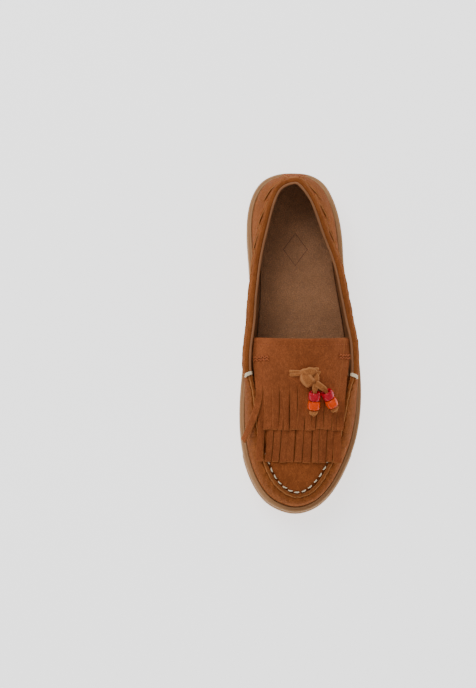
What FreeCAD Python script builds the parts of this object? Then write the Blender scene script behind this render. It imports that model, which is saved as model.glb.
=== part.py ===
"""Slip-on moccasin, left foot: rubber cup sole, suede upper with a hand-sewn apron, two-tier fringed
kiltie, collar lace and a knotted thong with glass beads. Millimetres, +Z up, toe towards -Y, heel
towards +Y, outer side of the foot towards +X, origin on the ground under the middle of the sole."""
import FreeCAD, Part
import math
import os
from FreeCAD import Vector, Placement, Rotation, Matrix

doc = FreeCAD.newDocument("moccasin")
sheet = doc.addObject("Spreadsheet::Sheet", "dims")
DIMS = [
    ("rim_wall", 4.5, "cup wall, plan thickness at the rim"),
    ("rim_proud", 0.8, "toe and heel bumpers stand this far out of the cup wall"),
    ("tread_deep", 1.6, "depth of the tread grooves"),
    ("tread_wide", 2.4, "width of a tread groove"),
    ("tread_pitch", 12.0, "pitch of the tread grooves"),
    ("leather_thk", 1.4, "suede thickness"),
    ("stiff_thk", 1.0, "toe puff, counter and collar foam thickness"),
    ("lining_thk", 1.0, "lining thickness"),
    ("layer_gap", 0.15, "gap between layers"),
    ("cup_gap", 0.2, "gap between the upper and the cup"),
    ("board_thk", 2.0, "insole board"),
    ("foam_thk", 3.0, "footbed foam"),
    ("cover_thk", 1.0, "leather sock"),
    ("stack_gap", 0.2, "gap between the layers of the footbed"),
    ("kiltie_thk", 1.3, "kiltie leather"),
    ("kiltie_gap", 0.3, "gap under each kiltie layer"),
    ("slit_wide", 0.5, "width of a fringe slit"),
    ("lift_y", -22.3, "kiltie fold line"),
    ("upper_end_y", -72.5, "end of the upper fringe"),
    ("lower_end_y", -97.5, "end of the lower fringe"),
    ("upper_slit_y", -42.5, "root of the upper slits"),
    ("lower_slit_y", -60.0, "root of the lower slits"),
    ("bead_dia", 9.4, "glass bead outer diameter"),
    ("bead_len", 6.6, "glass bead length"),
    ("bead_bore", 4.5, "glass bead bore"),
    ("thong_wide", 3.6, "thong width"),
    ("thong_thk", 1.5, "thong thickness"),
    ("bead_travel", 1.0, "play of each bead on its thong"),
    ("knot_high", 7.4, "height of the thong knot"),
    ("stitch_dia", 1.3, "hand stitch thread"),
    ("stitch_len", 4.3, "visible length of a hand stitch"),
    ("shank_wide", 12.0, "shank width"),
    ("shank_thk", 1.2, "shank thickness"),
    ("shank_long", 96.0, "shank length"),
]
for row, (alias, value, note) in enumerate(DIMS, start=1):
    sheet.set("A%d" % row, alias.replace("_", " "))
    sheet.set("B%d" % row, str(value))
    sheet.setAlias("B%d" % row, alias)
    sheet.set("C%d" % row, note)
doc.recompute()


def dim(alias):
    return float(sheet.get(alias))


# ---------------------------------------------------------------- shape of the shoe
def bsolve(q, closed):
    """Control points of the uniform cubic spline through the points q."""
    n = len(q)
    p = [list(a) for a in q]
    for _ in range(80):
        for i in range(n):
            if not closed and i in (0, n - 1):
                continue
            a, b = p[i - 1], p[(i + 1) % n]
            p[i] = [(6 * q[i][k] - a[k] - b[k]) / 4 for k in range(len(q[i]))]
    return p


def beval(p, u, closed):
    n = len(p)
    if closed:
        u = u % n
        i = int(math.floor(u))
        f = u - i
        c = [p[(i + k - 1) % n] for k in range(4)]
    else:
        u = min(max(u, 0.0), n - 1.0)
        i = min(int(math.floor(u)), n - 2)
        f = u - i
        first = [2 * a - b for a, b in zip(p[0], p[1])]
        last = [2 * a - b for a, b in zip(p[-1], p[-2])]
        e = [first] + p + [last]
        c = e[i:i + 4]
    w = ((1 - f) ** 3 / 6, (3 * f ** 3 - 6 * f * f + 4) / 6, (-3 * f ** 3 + 3 * f * f + 3 * f + 1) / 6, f ** 3 / 6)
    return [sum(w[k] * c[k][m] for k in range(4)) for m in range(len(p[0]))]


def pchip(pairs):
    """Smooth monotone curve through (x, y) pairs."""
    xs = [a for a, _ in pairs]
    ys = [b for _, b in pairs]
    n = len(xs)
    d = [(ys[i + 1] - ys[i]) / (xs[i + 1] - xs[i]) for i in range(n - 1)]
    m = [d[0]] + [0.0] * (n - 2) + [d[-1]]
    for i in range(1, n - 1):
        if d[i - 1] * d[i] > 0:
            h0, h1 = xs[i] - xs[i - 1], xs[i + 1] - xs[i]
            w1, w2 = 2 * h1 + h0, h1 + 2 * h0
            m[i] = (w1 + w2) / (w1 / d[i - 1] + w2 / d[i])

    def f(x):
        if x <= xs[0]:
            return ys[0]
        if x >= xs[-1]:
            return ys[-1]
        lo, hi = 0, n - 1
        while hi - lo > 1:
            mid = (lo + hi) // 2
            if xs[mid] <= x:
                lo = mid
            else:
                hi = mid
        h = xs[hi] - xs[lo]
        s = (x - xs[lo]) / h
        return (ys[lo] * (2 * s ** 3 - 3 * s * s + 1) + h * m[lo] * (s ** 3 - 2 * s * s + s)
                + ys[hi] * (-2 * s ** 3 + 3 * s * s) + h * m[hi] * (s ** 3 - s * s))
    return f


# plan outline of the sole at its widest, clockwise from the middle of the heel, outer side first
SOLE = [(-4.5, 135), (5.5, 134), (14.4, 130.2), (21, 123.8), (26, 114.5), (29.8, 103.5), (32.4, 91), (33.8, 77),
        (34.6, 62), (37, 45), (40.2, 27), (43, 10), (45.4, -6), (47.2, -22), (47.9, -39), (47.2, -55), (45.1, -70),
        (41.5, -84), (36, -98), (29, -111.5), (20.5, -123), (10, -131.2), (-2.5, -135), (-14.5, -133.3),
        (-26, -127.2), (-34.5, -117.5), (-40.8, -105), (-45, -91.5), (-47.6, -77), (-48.6, -61), (-48.3, -45),
        (-47, -29), (-45.3, -13), (-43.2, 5), (-41.3, 25), (-40.5, 45), (-41.3, 63), (-42.4, 78), (-42.8, 92),
        (-41.5, 105), (-38, 117), (-32, 126.5), (-24, 132), (-14.5, 134.6)]
# top line of the collar, then the sewn ridge round the apron, the same way round
TOP = [(-6.8, 118.6, 80.5), (0.3, 115.9, 79.7), (8.8, 104.8, 76.3), (15.2, 89.6, 71.8), (20.7, 74.6, 67.8),
       (25.4, 63.1, 65.3), (29.7, 49, 63.3), (32.4, 35.6, 62.3), (35.4, 19.9, 62.3), (37.7, 8, 62.7),
       (40.2, -3.9, 63), (41.2, -18, 62.5), (41, -32, 61), (38.2, -42.7, 59.3), (35.9, -54.2, 57.2),
       (33.6, -65.6, 54.6), (31.3, -76.9, 51.7), (28.5, -86.8, 49.4), (25.2, -96.3, 47.5), (20.9, -106, 46.2),
       (14.6, -115.6, 45.2), (6.2, -122.9, 44.5), (-4, -125.6, 44.3), (-13.4, -122.6, 44.5),
       (-22.2, -114.9, 45.2), (-28.2, -104.5, 46.6), (-31.6, -95, 48.5), (-33.7, -86, 50.6),
       (-35.2, -77.1, 53.2), (-36.8, -65.7, 56), (-38.2, -54.3, 58.6), (-39.6, -42.9, 61), (-42, -32.3, 63),
       (-42.6, -18.4, 64.5), (-41.3, -4.5, 65), (-39.2, 11.3, 64.5), (-38.2, 26.9, 64.6), (-37, 38.7, 65.1),
       (-35.1, 54.1, 66.6), (-32.3, 69.4, 69.1), (-28.6, 84.9, 72.2), (-24.4, 100.8, 76.2), (-17.6, 113.9, 79.3)]
NS = len(SOLE)
CENTRE = 0.35
S_P = bsolve([(x + CENTRE, y) for x, y in SOLE], True)
T_P = bsolve([(x + CENTRE, y, z) for x, y, z in TOP], True)
s_to_t = pchip([(0, 0), (3, 1.3), (6, 3.0), (8, 5.1), (10, 7.55), (12, 10.15), (14, 12.7), (16, 15.4), (18, 17.6),
                (20, 19.9), (22, 22), (24, 24.1), (26, 25.6), (28, 28), (30, 30.8), (32, 33.4), (34, 35.9),
                (36, 38.6), (38, 40.4), (40, 41.6), (42, 42.5), (44, 43)])
rim_z = pchip([(-135, 26.5), (-120, 26), (-90, 24.5), (-50, 24), (0, 25.5), (40, 28), (80, 30.5), (135, 32)])
ground_z = pchip([(-137, 9), (-128, 6.6), (-116, 3.8), (-104, 1.8), (-92, 0.5), (-82, 0), (116, 0), (122, 0.25), (129, 1.2), (137, 3.4)])
floor_z = pchip([(-137, 12.5), (-120, 8.6), (-90, 6.6), (-50, 6.5), (0, 7), (40, 8), (80, 9), (137, 9.5)])
mid_z = pchip([(-137, 17.5), (-120, 15.2), (-90, 13.2), (-50, 12.8), (0, 15), (40, 18), (80, 20), (137, 20.5)])
# shape of the upper's side, going round: start and end handles (out, up) and (out, down)
out0 = pchip([(0, 1.5), (8, 1.2), (14, 1.5), (18, 1.4), (22, 1.0), (26, 1.4), (30, 1.5), (36, 1.2), (44, 1.5)])
up0 = pchip([(0, 16), (6, 15), (12, 14), (15, 12), (18, 10), (22, 8.5), (26, 10), (29, 12), (32, 14), (38, 15), (44, 16)])
out1 = pchip([(0, 5.2), (5, 5.0), (8, 5.6), (11, 5.6), (13.5, 4.6), (16, 5.4), (19, 5.6), (22, 5.0), (25, 5.6), (28, 5.4),
              (31, 5.2), (33, 7.4), (36, 7.4), (39, 5.4), (44, 5.2)])
dn1 = pchip([(0, 11), (6, 11), (11, 11.5), (13.5, 9), (16, 4.6), (19, 2.4), (22, 1.5), (25, 2.4), (28, 4.6), (31, 9),
             (34, 11.5), (38, 11), (44, 11)])


def sole_point(u, inset=0.0):
    """Point of the sole outline moved inwards, and the outward unit normal."""
    x, y = beval(S_P, u, True)
    x2, y2 = beval(S_P, u + 0.02, True)
    x1, y1 = beval(S_P, u - 0.02, True)
    tx, ty = x2 - x1, y2 - y1
    length = math.hypot(tx, ty)
    nx, ny = -ty / length, tx / length
    return x - nx * inset, y - ny * inset, nx, ny


def wall_point(u, v):
    """Outer face of the upper's side. v from -1 (on the midsole) through 0 (cup rim) to 1 (top line or ridge)."""
    fx, fy, nx, ny = sole_point(u, dim_rim + dim_cup)
    zr = rim_z(fy)
    if v <= 0:
        zb = mid_z(fy) + dim_stack
        return [fx, fy, zr + v * (zr - zb)]
    tx, ty, tz = beval(T_P, s_to_t(u % NS), True)
    a = (fx + nx * out0(u), fy + ny * out0(u), zr + up0(u))
    b = (tx + nx * out1(u), ty + ny * out1(u), tz - dn1(u))
    w = ((1 - v) ** 3, 3 * v * (1 - v) ** 2, 3 * v * v * (1 - v), v ** 3)
    return [w[0] * p + w[1] * q + w[2] * r + w[3] * s for p, q, r, s in zip((fx, fy, zr), a, b, (tx, ty, tz))]


def unit(a):
    n = math.sqrt(sum(c * c for c in a))
    return [c / n for c in a]


def cross(a, b):
    return [a[1] * b[2] - a[2] * b[1], a[2] * b[0] - a[0] * b[2], a[0] * b[1] - a[1] * b[0]]


def wall(u, v, deep):
    """Point at a depth inside the outer face of the upper's side."""
    p = wall_point(u, v)
    e = 0.03
    v1, v2 = max(v - e, -1), min(v + e, 1)
    if v <= 0:
        _, _, nx, ny = sole_point(u)
        n = [nx, ny, 0.0]
    else:
        du = [a - b for a, b in zip(wall_point(u + 0.05, v), wall_point(u - 0.05, v))]
        dv = [a - b for a, b in zip(wall_point(u, v2), wall_point(u, max(v1, 0)))]
        n = unit(cross(dv, du))
        _, _, nx, ny = sole_point(u)
        if n[0] * nx + n[1] * ny < 0:
            n = [-c for c in n]
        if v < 0.12:
            k = v / 0.12
            n = unit([nx * (1 - k) + n[0] * k, ny * (1 - k) + n[1] * k, n[2] * k])
    return Vector(*[a - deep * b for a, b in zip(p, n)])


# apron and tongue: middle line, half width and side height at each place along the foot
ap_mid_z = pchip([(-125, 43.6), (-121, 45.2), (-112, 47.4), (-96, 52), (-77, 59), (-54, 68), (-32, 76.5), (-18, 81.5), (-5, 86), (0, 87.5)])
ap_side_z = pchip([(-125, 42.8), (-112, 43.4), (-96, 45.6), (-77, 50.3), (-54, 56), (-43, 58), (-32, 58.8), (-18, 58.6), (0, 58)])
ap_half = pchip([(-125, 1.6), (-123, 3.6), (-121, 8.0), (-119, 11.1), (-116, 14.5), (-112, 17.85), (-105, 22.0), (-96, 25.75), (-87, 28.5),
                 (-77, 30.8), (-66, 32.8), (-54, 34.8), (-43, 36.2), (-32, 36.4), (-18, 36.2), (0, 35.2)])
ap_cx = pchip([(-125, -3.4), (-116, -3.1), (-105, -2.95), (-96, -2.7), (-77, -1.7), (-54, -0.85), (-32, -0.2), (0, -0.4)])


def apron_point(w, y):
    h = ap_half(y)
    return [ap_cx(y) + w * h, y, ap_mid_z(y) - (ap_mid_z(y) - ap_side_z(y)) * abs(w) ** 2.3]


def apron(w, y, high):
    """Point above the outer face of the apron; w from -1 to 1 across it."""
    e = 0.02
    dw = [a - b for a, b in zip(apron_point(w + e, y), apron_point(w - e, y))]
    dy = [a - b for a, b in zip(apron_point(w, y + 0.5), apron_point(w, y - 0.5))]
    n = unit(cross(dw, dy))
    return Vector(*[a + high * b for a, b in zip(apron_point(w, y), n)])


dim_rim, dim_cup, dim_stack = dim("rim_wall"), dim("cup_gap"), dim("stack_gap")
leather, stiff, lining, gap = dim("leather_thk"), dim("stiff_thk"), dim("lining_thk"), dim("layer_gap")
stiff_in = leather + gap
lining_in = stiff_in + stiff + gap
inside = lining_in + lining
nodes = {}


# ---------------------------------------------------------------- builders
def face_of(grid):
    s = Part.BSplineSurface()
    s.interpolate(grid)
    return s


def curve_of(points):
    c = Part.BSplineCurve()
    c.interpolate(points)
    return c


def solid_of(faces):
    shell = Part.makeShell(faces)
    shell.sewShape()
    solid = Part.makeSolid(shell)
    if solid.Volume < 0:
        solid.reverse()
    if not solid.isValid():
        solid.fix(0.001, 0.001, 0.001)
        if solid.Volume < 0:
            solid.reverse()
    return solid


def slab(outer, inner):
    """Closed solid between two matching grids of points."""
    a, b = face_of(outer), face_of(inner)
    faces = [a.toShape(), b.toShape()]
    u0, u1, v0, v1 = a.bounds()
    p0, p1, q0, q1 = b.bounds()
    for ca, cb in ((a.uIso(u0), b.uIso(p0)), (a.uIso(u1), b.uIso(p1)), (a.vIso(v0), b.vIso(q0)), (a.vIso(v1), b.vIso(q1))):
        faces.append(Part.makeRuledSurface(ca.toShape(), cb.toShape()))
    return solid_of(faces)


def beam(rails):
    """Closed solid along four rails of points."""
    curves = [curve_of(r).toShape() for r in rails]
    faces = [Part.makeRuledSurface(curves[i], curves[(i + 1) % 4]) for i in range(4)]
    for end in (0, -1):
        faces.append(Part.Face(Part.makePolygon([r[end] for r in rails] + [rails[0][end]])))
    return solid_of(faces)


def steps(a, b, n):
    return [a + (b - a) * i / (n - 1) for i in range(n)]


VROWS = [-1, -0.75, -0.5, -0.25, -0.08, 0, 0.05, 0.12, 0.2, 0.29, 0.38, 0.47, 0.56, 0.65, 0.74, 0.82, 0.9, 0.95, 1.0]


def wall_slab(u0, u1, v0, v1, d0, d1, ease=0.0):
    """Piece of the upper's side between two depths. All pieces share one lattice, so neighbours follow each other.
    ease thins the outer face by that much beside the back seam, where the quarters are thicker."""
    us = [u0, u0 + 0.07] + [k / 3 for k in range(-60, 200) if u0 + 0.16 < k / 3 < u1 - 0.16] + [u1 - 0.07, u1]
    vs = [v0] + [v for v in VROWS if v0 + 0.03 < v < v1 - 0.03] + [v1]
    return slab([[wall(u, v, d0 + ease * math.exp(-((u - 0.45) / 1.0) ** 2)) for v in vs] for u in us], [[wall(u, v, d1) for v in vs] for u in us])


def apron_slab(y0, y1, w0, w1, h0, h1, ny, nw):
    ys, ws = steps(y0, y1, ny), steps(w0, w1, nw)
    return slab([[apron(w, y, h1) for w in ws] for y in ys], [[apron(w, y, h0) for w in ws] for y in ys])


def add_shape(name, shape):
    o = doc.addObject("Part::Feature", name)
    o.Label = name
    o.Shape = shape
    o.Placement = Placement()
    nodes[name] = o
    return o


def outline_wire(inset, n=88):
    pts = []
    for i in range(n):
        x, y, _, _ = sole_point(NS * i / n, inset)
        pts.append(Vector(x, y, 0))
    c = Part.BSplineCurve()
    c.interpolate(Points=pts, PeriodicFlag=True)
    return c


def role_plane(body, role):
    for f in body.Origin.OriginFeatures:
        if f.Role == role:
            return f
    raise ValueError(role)


def new_sketch(body, name, role):
    sk = body.newObject("Sketcher::SketchObject", name)
    sk.AttachmentSupport = [(role_plane(body, role), "")]
    sk.MapMode = "FlatFace"
    return sk


def outline_body(name, inset, top, expr=None):
    """A body padded up from the sole outline, moved in."""
    body = doc.addObject("PartDesign::Body", name)
    sk = new_sketch(body, name + "_outline", "XY_Plane")
    sk.addGeometry(outline_wire(inset), False)
    pad = body.newObject("PartDesign::Pad", name + "_pad")
    pad.Profile = sk
    pad.Length = top
    body.Tip = pad
    return body


def side_profile(f_low, f_high, n=40, y0=-140, y1=140, flat=None):
    """Flat face in the YZ plane between two curves; flat is a level stretch of the lower one."""
    high = [Vector(0, y, f_high(y)) for y in steps(y0, y1, n)]
    e2 = curve_of(high).toShape()
    if flat:
        first = [Vector(0, y, f_low(y)) for y in steps(y0, flat[0], 16)]
        last = [Vector(0, y, f_low(y)) for y in steps(flat[1], y1, 10)]
        low = [first[0], last[-1]]
        e1 = [curve_of(first).toShape(), Part.makeLine(first[-1], last[0]), curve_of(last).toShape()]
    else:
        low = [Vector(0, y, f_low(y)) for y in steps(y0, y1, n)]
        e1 = [curve_of(low).toShape()]
    l1 = Part.makeLine(low[-1], high[-1])
    l2 = Part.makeLine(high[0], low[0])
    return Part.Face(Part.Wire(e1 + [l1, e2, l2]))


def layer(name, inset, f_low, f_high, flat=None):
    """A sole or footbed layer: the outline, cut to lie between two side curves."""
    column = outline_body(name + "_column", inset, 70)
    column.Placement = Placement(Vector(0, 0, -5), Rotation())
    profile = doc.addObject("Part::Feature", name + "_profile")
    profile.Shape = side_profile(f_low, f_high, 40, -140, 140, flat)
    ext = doc.addObject("Part::Extrusion", name + "_side")
    ext.Base = profile
    ext.DirMode = "Custom"
    ext.Dir = Vector(1, 0, 0)
    ext.LengthFwd = 70
    ext.LengthRev = 70
    ext.Solid = True
    both = doc.addObject("Part::Common", name)
    both.Base = column
    both.Tool = ext
    both.Label = name
    return both


# ---------------------------------------------------------------- sole unit
# cup sole: outline block, shaped from the side, hollowed for the midsole, grooved underneath
block = layer("outsole_block", 0.0, ground_z, rim_z, (-82, 116))
cavity = layer("outsole_cavity", dim_rim, floor_z, lambda y: 50.0)
hollow = doc.addObject("Part::Cut", "outsole_cup")
hollow.Base, hollow.Tool = block, cavity

groove = doc.addObject("Part::Box", "tread_groove")
groove.setExpression("Width", "dims.tread_wide")
groove.setExpression("Height", "dims.tread_deep * 2")
groove.Length = 62
doc.recompute()
pitch = dim("tread_pitch")
cutters = []
for k in range(-7, 10):
    y = k * pitch + 6
    if -84 < y < 116:
        x0, _, _, _ = sole_point(22, 0)
        mid_x = -0.4 + (-4.4 if y > 40 else 0.0)
        half = 29 if y < 0 else (23 if y < 60 else 25)
        b = groove.Shape.copy()
        b = Part.makeBox(2 * half, dim("tread_wide"), 2 * dim("tread_deep"), Vector(mid_x - half, y - dim("tread_wide") / 2, -dim("tread_deep")))
        cutters.append(b)
tread = doc.addObject("Part::Feature", "tread_cut")
tread.Shape = Part.makeCompound(cutters)
outsole = doc.addObject("Part::Cut", "outsole")
outsole.Base, outsole.Tool = hollow, tread
outsole.Label = "outsole"
nodes["outsole"] = outsole

layer_in = dim_rim + dim_cup
midsole_full = layer("midsole_block", layer_in, lambda y: floor_z(y) + dim_stack, mid_z)
shank_z0 = -0.2


def shank_low(y):
    return mid_z(y) - dim("shank_thk") - 0.1


shank_y0, shank_y1 = -34.0, -34.0 + dim("shank_long")
shank_prof = side_profile(shank_low, lambda y: mid_z(y) - 0.1, 24, shank_y0, shank_y1)
shank_half = dim("shank_wide") / 2
sh = doc.addObject("Part::Feature", "shank_profile")
sh.Shape = shank_prof
shank = doc.addObject("Part::Extrusion", "shank")
shank.Base = sh
shank.DirMode = "Custom"
shank.Dir = Vector(1, 0, 0)
shank.setExpression("LengthFwd", "dims.shank_wide / 2 - 2")
shank.setExpression("LengthRev", "dims.shank_wide / 2 + 2")
shank.Solid = True
shank.Label = "shank"
nodes["shank"] = shank
slot_prof = side_profile(lambda y: shank_low(y) - 0.15, lambda y: mid_z(y) + 3, 24, shank_y0 - 0.3, shank_y1 + 0.3)
slot = doc.addObject("Part::Feature", "shank_slot")
slot.Shape = slot_prof.extrude(Vector(dim("shank_wide") + 0.6, 0, 0))
slot.Placement = Placement(Vector(-dim("shank_wide") / 2 - 2.3, 0, 0), Rotation())
midsole = doc.addObject("Part::Cut", "midsole")
midsole.Base, midsole.Tool = midsole_full, slot
midsole.Label = "midsole"
nodes["midsole"] = midsole

foot_in = layer_in + inside + 0.4
b0 = dim_stack
b1 = b0 + dim("board_thk")
f0 = b1 + dim_stack
f1 = f0 + dim("foam_thk")
c0 = f1 + dim_stack
c1 = c0 + dim("cover_thk")
nodes["insole_board"] = layer("insole_board", foot_in, lambda y: mid_z(y) + b0, lambda y: mid_z(y) + b1)
nodes["footbed_foam"] = layer("footbed_foam", foot_in, lambda y: mid_z(y) + f0, lambda y: mid_z(y) + f1)
nodes["sock_cover"] = layer("sock_cover", foot_in, lambda y: mid_z(y) + c0, lambda y: mid_z(y) + c1)

# ---------------------------------------------------------------- upper
LAT, MED = 13.45, 31.0
add_shape("quarter_lateral", wall_slab(0.03, LAT - 0.02, -1, 1, 0, leather))
add_shape("vamp", wall_slab(LAT + 0.02, MED - 0.02, -1, 1, 0, leather))
add_shape("quarter_medial", wall_slab(MED + 0.02, NS - 0.03, -1, 1, 0, leather))
add_shape("heel_counter", wall_slab(-19 / 3, 19 / 3, -0.75, 0.56, stiff_in + 0.25, stiff_in + stiff - 0.05, 0.3))
add_shape("collar_foam", wall_slab(-34 / 3, 12.0, 0.65, 0.95, stiff_in + 0.25, stiff_in + stiff - 0.05, 0.25))
add_shape("toe_puff", wall_slab(55 / 3, 77 / 3, -0.25, 0.56, stiff_in + 0.4, stiff_in + stiff - 0.15))
add_shape("quarter_lining", wall_slab(-(NS - MED) + 0.03, LAT - 0.03, -0.9, 0.985, lining_in, inside))
add_shape("vamp_lining", wall_slab(LAT + 0.03, MED - 0.03, -0.9, 0.68, lining_in, inside))
add_shape("backstay", wall_slab(-1.15, 1.25, 0.04, 0.99, -gap - 1.3, -gap - 0.45))

# edge binding along the top line, saddle to saddle round the heel
us = steps(-(NS - MED) + 0.05, LAT - 0.05, 60)
rails = [[], [], [], []]
for u in us:
    o, i = wall(u, 1.0, 0.1), wall(u, 1.0, inside - 0.1)
    for rail, base, up in ((0, o, 0.2), (1, i, 0.2), (2, i, 1.4), (3, o, 1.4)):
        rails[rail].append(Vector(base.x, base.y, wall_point(u, 1.0)[2] + up))
add_shape("collar_binding", beam(rails))

# lace round the collar on each side, from the saddle stitch to the backstay
add_shape("collar_lace_lateral", wall_slab(4 / 3, 13.0, 0.65, 0.76, -gap - 1.5, -gap - 0.4))
add_shape("collar_lace_medial", wall_slab(94 / 3, 128 / 3, 0.65, 0.76, -gap - 1.5, -gap - 0.4))

# apron with its tongue, and its lining
ys_ap = [-122.2, -121, -119.5, -117.5, -114.5, -110.5, -106, -101, -96, -90, -84, -77, -70, -62, -54, -46, -38, -30, -22, -14, -7, -1]
ws_ap = steps(-1, 1, 13)


def apron_slab_list(ys, ws, h0, h1):
    return slab([[apron(w, y, h1) for w in ws] for y in ys], [[apron(w, y, h0) for w in ws] for y in ys])


add_shape("apron", apron_slab_list(ys_ap, ws_ap, -leather, 0))
add_shape("apron_lining", apron_slab_list([y for y in ys_ap if y > -118], steps(-0.9, 0.9, 13), -leather - gap - lining, -leather - gap))

# ---------------------------------------------------------------- kiltie, two layers
k_thk, k_gap = dim("kiltie_thk"), dim("kiltie_gap")
low0, low1 = k_gap, k_gap + k_thk
up0_, up1_ = low1 + k_gap, low1 + k_gap + k_thk
fold = dim("lift_y")
KW = 0.93


def slit_boxes(y_root, y_end, ws, top):
    """Thin upright cutters that part the strands."""
    out = []
    half = dim("slit_wide") / 2
    for w in ws:
        a = apron_point(w, y_root)
        b = apron_point(w * 0.98, y_end - 3)
        d = Vector(b[0] - a[0], b[1] - a[1], 0)
        length = d.Length
        d.normalize()
        n = Vector(-d.y, d.x, 0)
        base = Vector(a[0], a[1], 20)
        pts = [base + n * half, base - n * half, base - n * half + d * length, base + n * half + d * length]
        out.append(Part.Face(Part.makePolygon(pts + [pts[0]])).extrude(Vector(0, 0, 90)))
    return Part.makeCompound(out)


def kiltie(y0, y1, h0, h1, ny, kw=KW):
    return apron_slab(y0, y1, -kw, kw, h0, h1, ny, 13)


add_shape("kiltie_lower_yoke", kiltie(fold + 0.4, -1.5, low0, low1, 6))
add_shape("kiltie_upper_yoke", kiltie(fold + 0.4, -1.2, up0_, up1_, 6))
lower = kiltie(dim("lower_end_y"), fold - 0.4, low0, low1, 17)
lower = lower.cut(slit_boxes(dim("lower_slit_y"), dim("lower_end_y"), [-0.76, -0.6, -0.43, -0.27, -0.1, 0.06, 0.23, 0.4, 0.56, 0.73], 0))
add_shape("kiltie_lower", lower.Solids[0] if lower.Solids else lower)
upper = kiltie(dim("upper_end_y"), fold - 0.4, up0_, up1_, 12)
upper = upper.cut(slit_boxes(dim("upper_slit_y"), dim("upper_end_y"),
                             [-0.79, -0.65, -0.51, -0.37, -0.24, -0.11, 0.02, 0.15, 0.28, 0.41, 0.54, 0.67, 0.8], 0))
# two slots for the thong
for hx in (-9.2, 13.0):
    upper = upper.cut(Part.makeBox(1.6, 4.4, 40, Vector(hx - 0.8, -33.6, 60)))
add_shape("kiltie_upper", upper.Solids[0] if upper.Solids else upper)


# ---------------------------------------------------------------- stitching
def rod(a, b, dia):
    """Round-ended thread between two points."""
    d = b - a
    c = Part.makeCylinder(dia / 2, d.Length, a, d)
    return c.fuse([Part.makeSphere(dia / 2, a), Part.makeSphere(dia / 2, b)]).removeSplitter()


stitch_r = dim("stitch_dia") / 2
stitches = []
# middles of the hand stitches in plan, round the toe from the medial side
SEWN = [(-29.7, -91.6), (-28.1, -98.9), (-24.2, -104.1), (-21.7, -109.7), (-18.2, -114.6), (-13.9, -118.1), (-9, -120.2), (-3.7, -120.7),
        (1.7, -119.5), (6.4, -116.4), (10.6, -112), (14.4, -107.3), (17.3, -102.6)]
for k, (x, y) in enumerate(SEWN):
    xa, ya = SEWN[max(k - 1, 0)]
    xb, yb = SEWN[min(k + 1, len(SEWN) - 1)]
    ln = math.hypot(xb - xa, yb - ya)
    pts = []
    for side in (-0.5, 0.5):
        px, py = x + (xb - xa) / ln * side, y + (yb - ya) / ln * side
        w = (px - ap_cx(py)) / ap_half(py)
        pts.append(apron(max(-0.99, min(0.99, w)), py, stitch_r + 0.12))
    if y < -90:
        d = pts[1] - pts[0]
        m = (pts[0] + pts[1]) * 0.5
        d.normalize()
        h = dim("stitch_len") / 2 - stitch_r
        stitches.append(rod(m - d * h, m + d * h, dim("stitch_dia")))
add_shape("apron_stitches", Part.makeCompound(stitches))

saddles = []
for u, sx in ((LAT, 1), (MED, -1)):
    a = Vector(*wall_point(u, 0.9)) + Vector(sx * 1.9, 0, 1.2)
    b = Vector(*wall_point(u, 1.0)) + Vector(sx * 0.4, 0, 2.4)
    saddles.append(rod(a, b, 1.8))
add_shape("saddle_stitches", Part.makeCompound(saddles))

tacks = []
for w0, w1 in ((-0.82, -0.5), (0.5, 0.82)):
    for k in range(5):
        wa = w0 + (w1 - w0) * k / 5
        wb = w0 + (w1 - w0) * (k + 0.8) / 5
        ya, yb = fold + 1.6, fold + 4.6
        if k % 2:
            ya, yb = yb, ya
        tacks.append(rod(apron(wa, ya, up1_ + 0.45), apron(wb, yb, up1_ + 0.45), 0.6))
add_shape("bar_tacks", Part.makeCompound(tacks))


# ---------------------------------------------------------------- knotted thong and beads
def frame_at(origin, along, normal):
    """Placement whose X runs along the thong and whose Z stands off the leather."""
    x = Vector(along).normalize()
    z = Vector(normal) - x * x.dot(Vector(normal))
    z.normalize()
    y = z.cross(x)
    return Placement(Matrix(x.x, y.x, z.x, origin.x, x.y, y.y, z.y, origin.y, x.z, y.z, z.z, origin.z, 0, 0, 0, 1))


def on_kiltie(x, y, high):
    w = (x - ap_cx(y)) / ap_half(y)
    return apron(w, y, up1_ + high)


def normal_at(x, y):
    return (on_kiltie(x, y, 5) - on_kiltie(x, y, 0)).normalize()


# knot: a rounded lump with a doubled leg to the left slot and a stub to the right one
KNOT = (4.2, -34.4)
knot_n = normal_at(*KNOT)
down = (on_kiltie(KNOT[0], KNOT[1] - 6, 0) - on_kiltie(KNOT[0], KNOT[1] + 6, 0)).normalize()
knot_place = frame_at(on_kiltie(KNOT[0], KNOT[1], 0.4), down, knot_n)
body = doc.addObject("PartDesign::Body", "bow_knot")
sk = new_sketch(body, "knot_outline", "XY_Plane")
kx0, kx1, ky0, ky1 = -6.8, 4.7, -5.0, 5.2
sk.addGeometry([Part.LineSegment(Vector(kx0, ky0, 0), Vector(kx1, ky0, 0)), Part.LineSegment(Vector(kx1, ky0, 0), Vector(kx1, ky1, 0)),
                Part.LineSegment(Vector(kx1, ky1, 0), Vector(kx0, ky1, 0)), Part.LineSegment(Vector(kx0, ky1, 0), Vector(kx0, ky0, 0))], False)
pad = body.newObject("PartDesign::Pad", "knot_pad")
pad.Profile = sk
pad.setExpression("Length", "dims.knot_high")
doc.recompute()
fil = body.newObject("PartDesign::Fillet", "knot_round")
fil.Base = (pad, ["Edge%d" % (i + 1) for i in range(len(pad.Shape.Edges))])
fil.Radius = 2.6
doc.recompute()
if "Invalid" in fil.State or "Error" in fil.State:
    raise RuntimeError("knot fillet failed")
sk2 = new_sketch(body, "knot_legs", "XY_Plane")
lx0, lx1, ly0, ly1 = -6.2, -1.8, -13.6, 7.6
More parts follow.
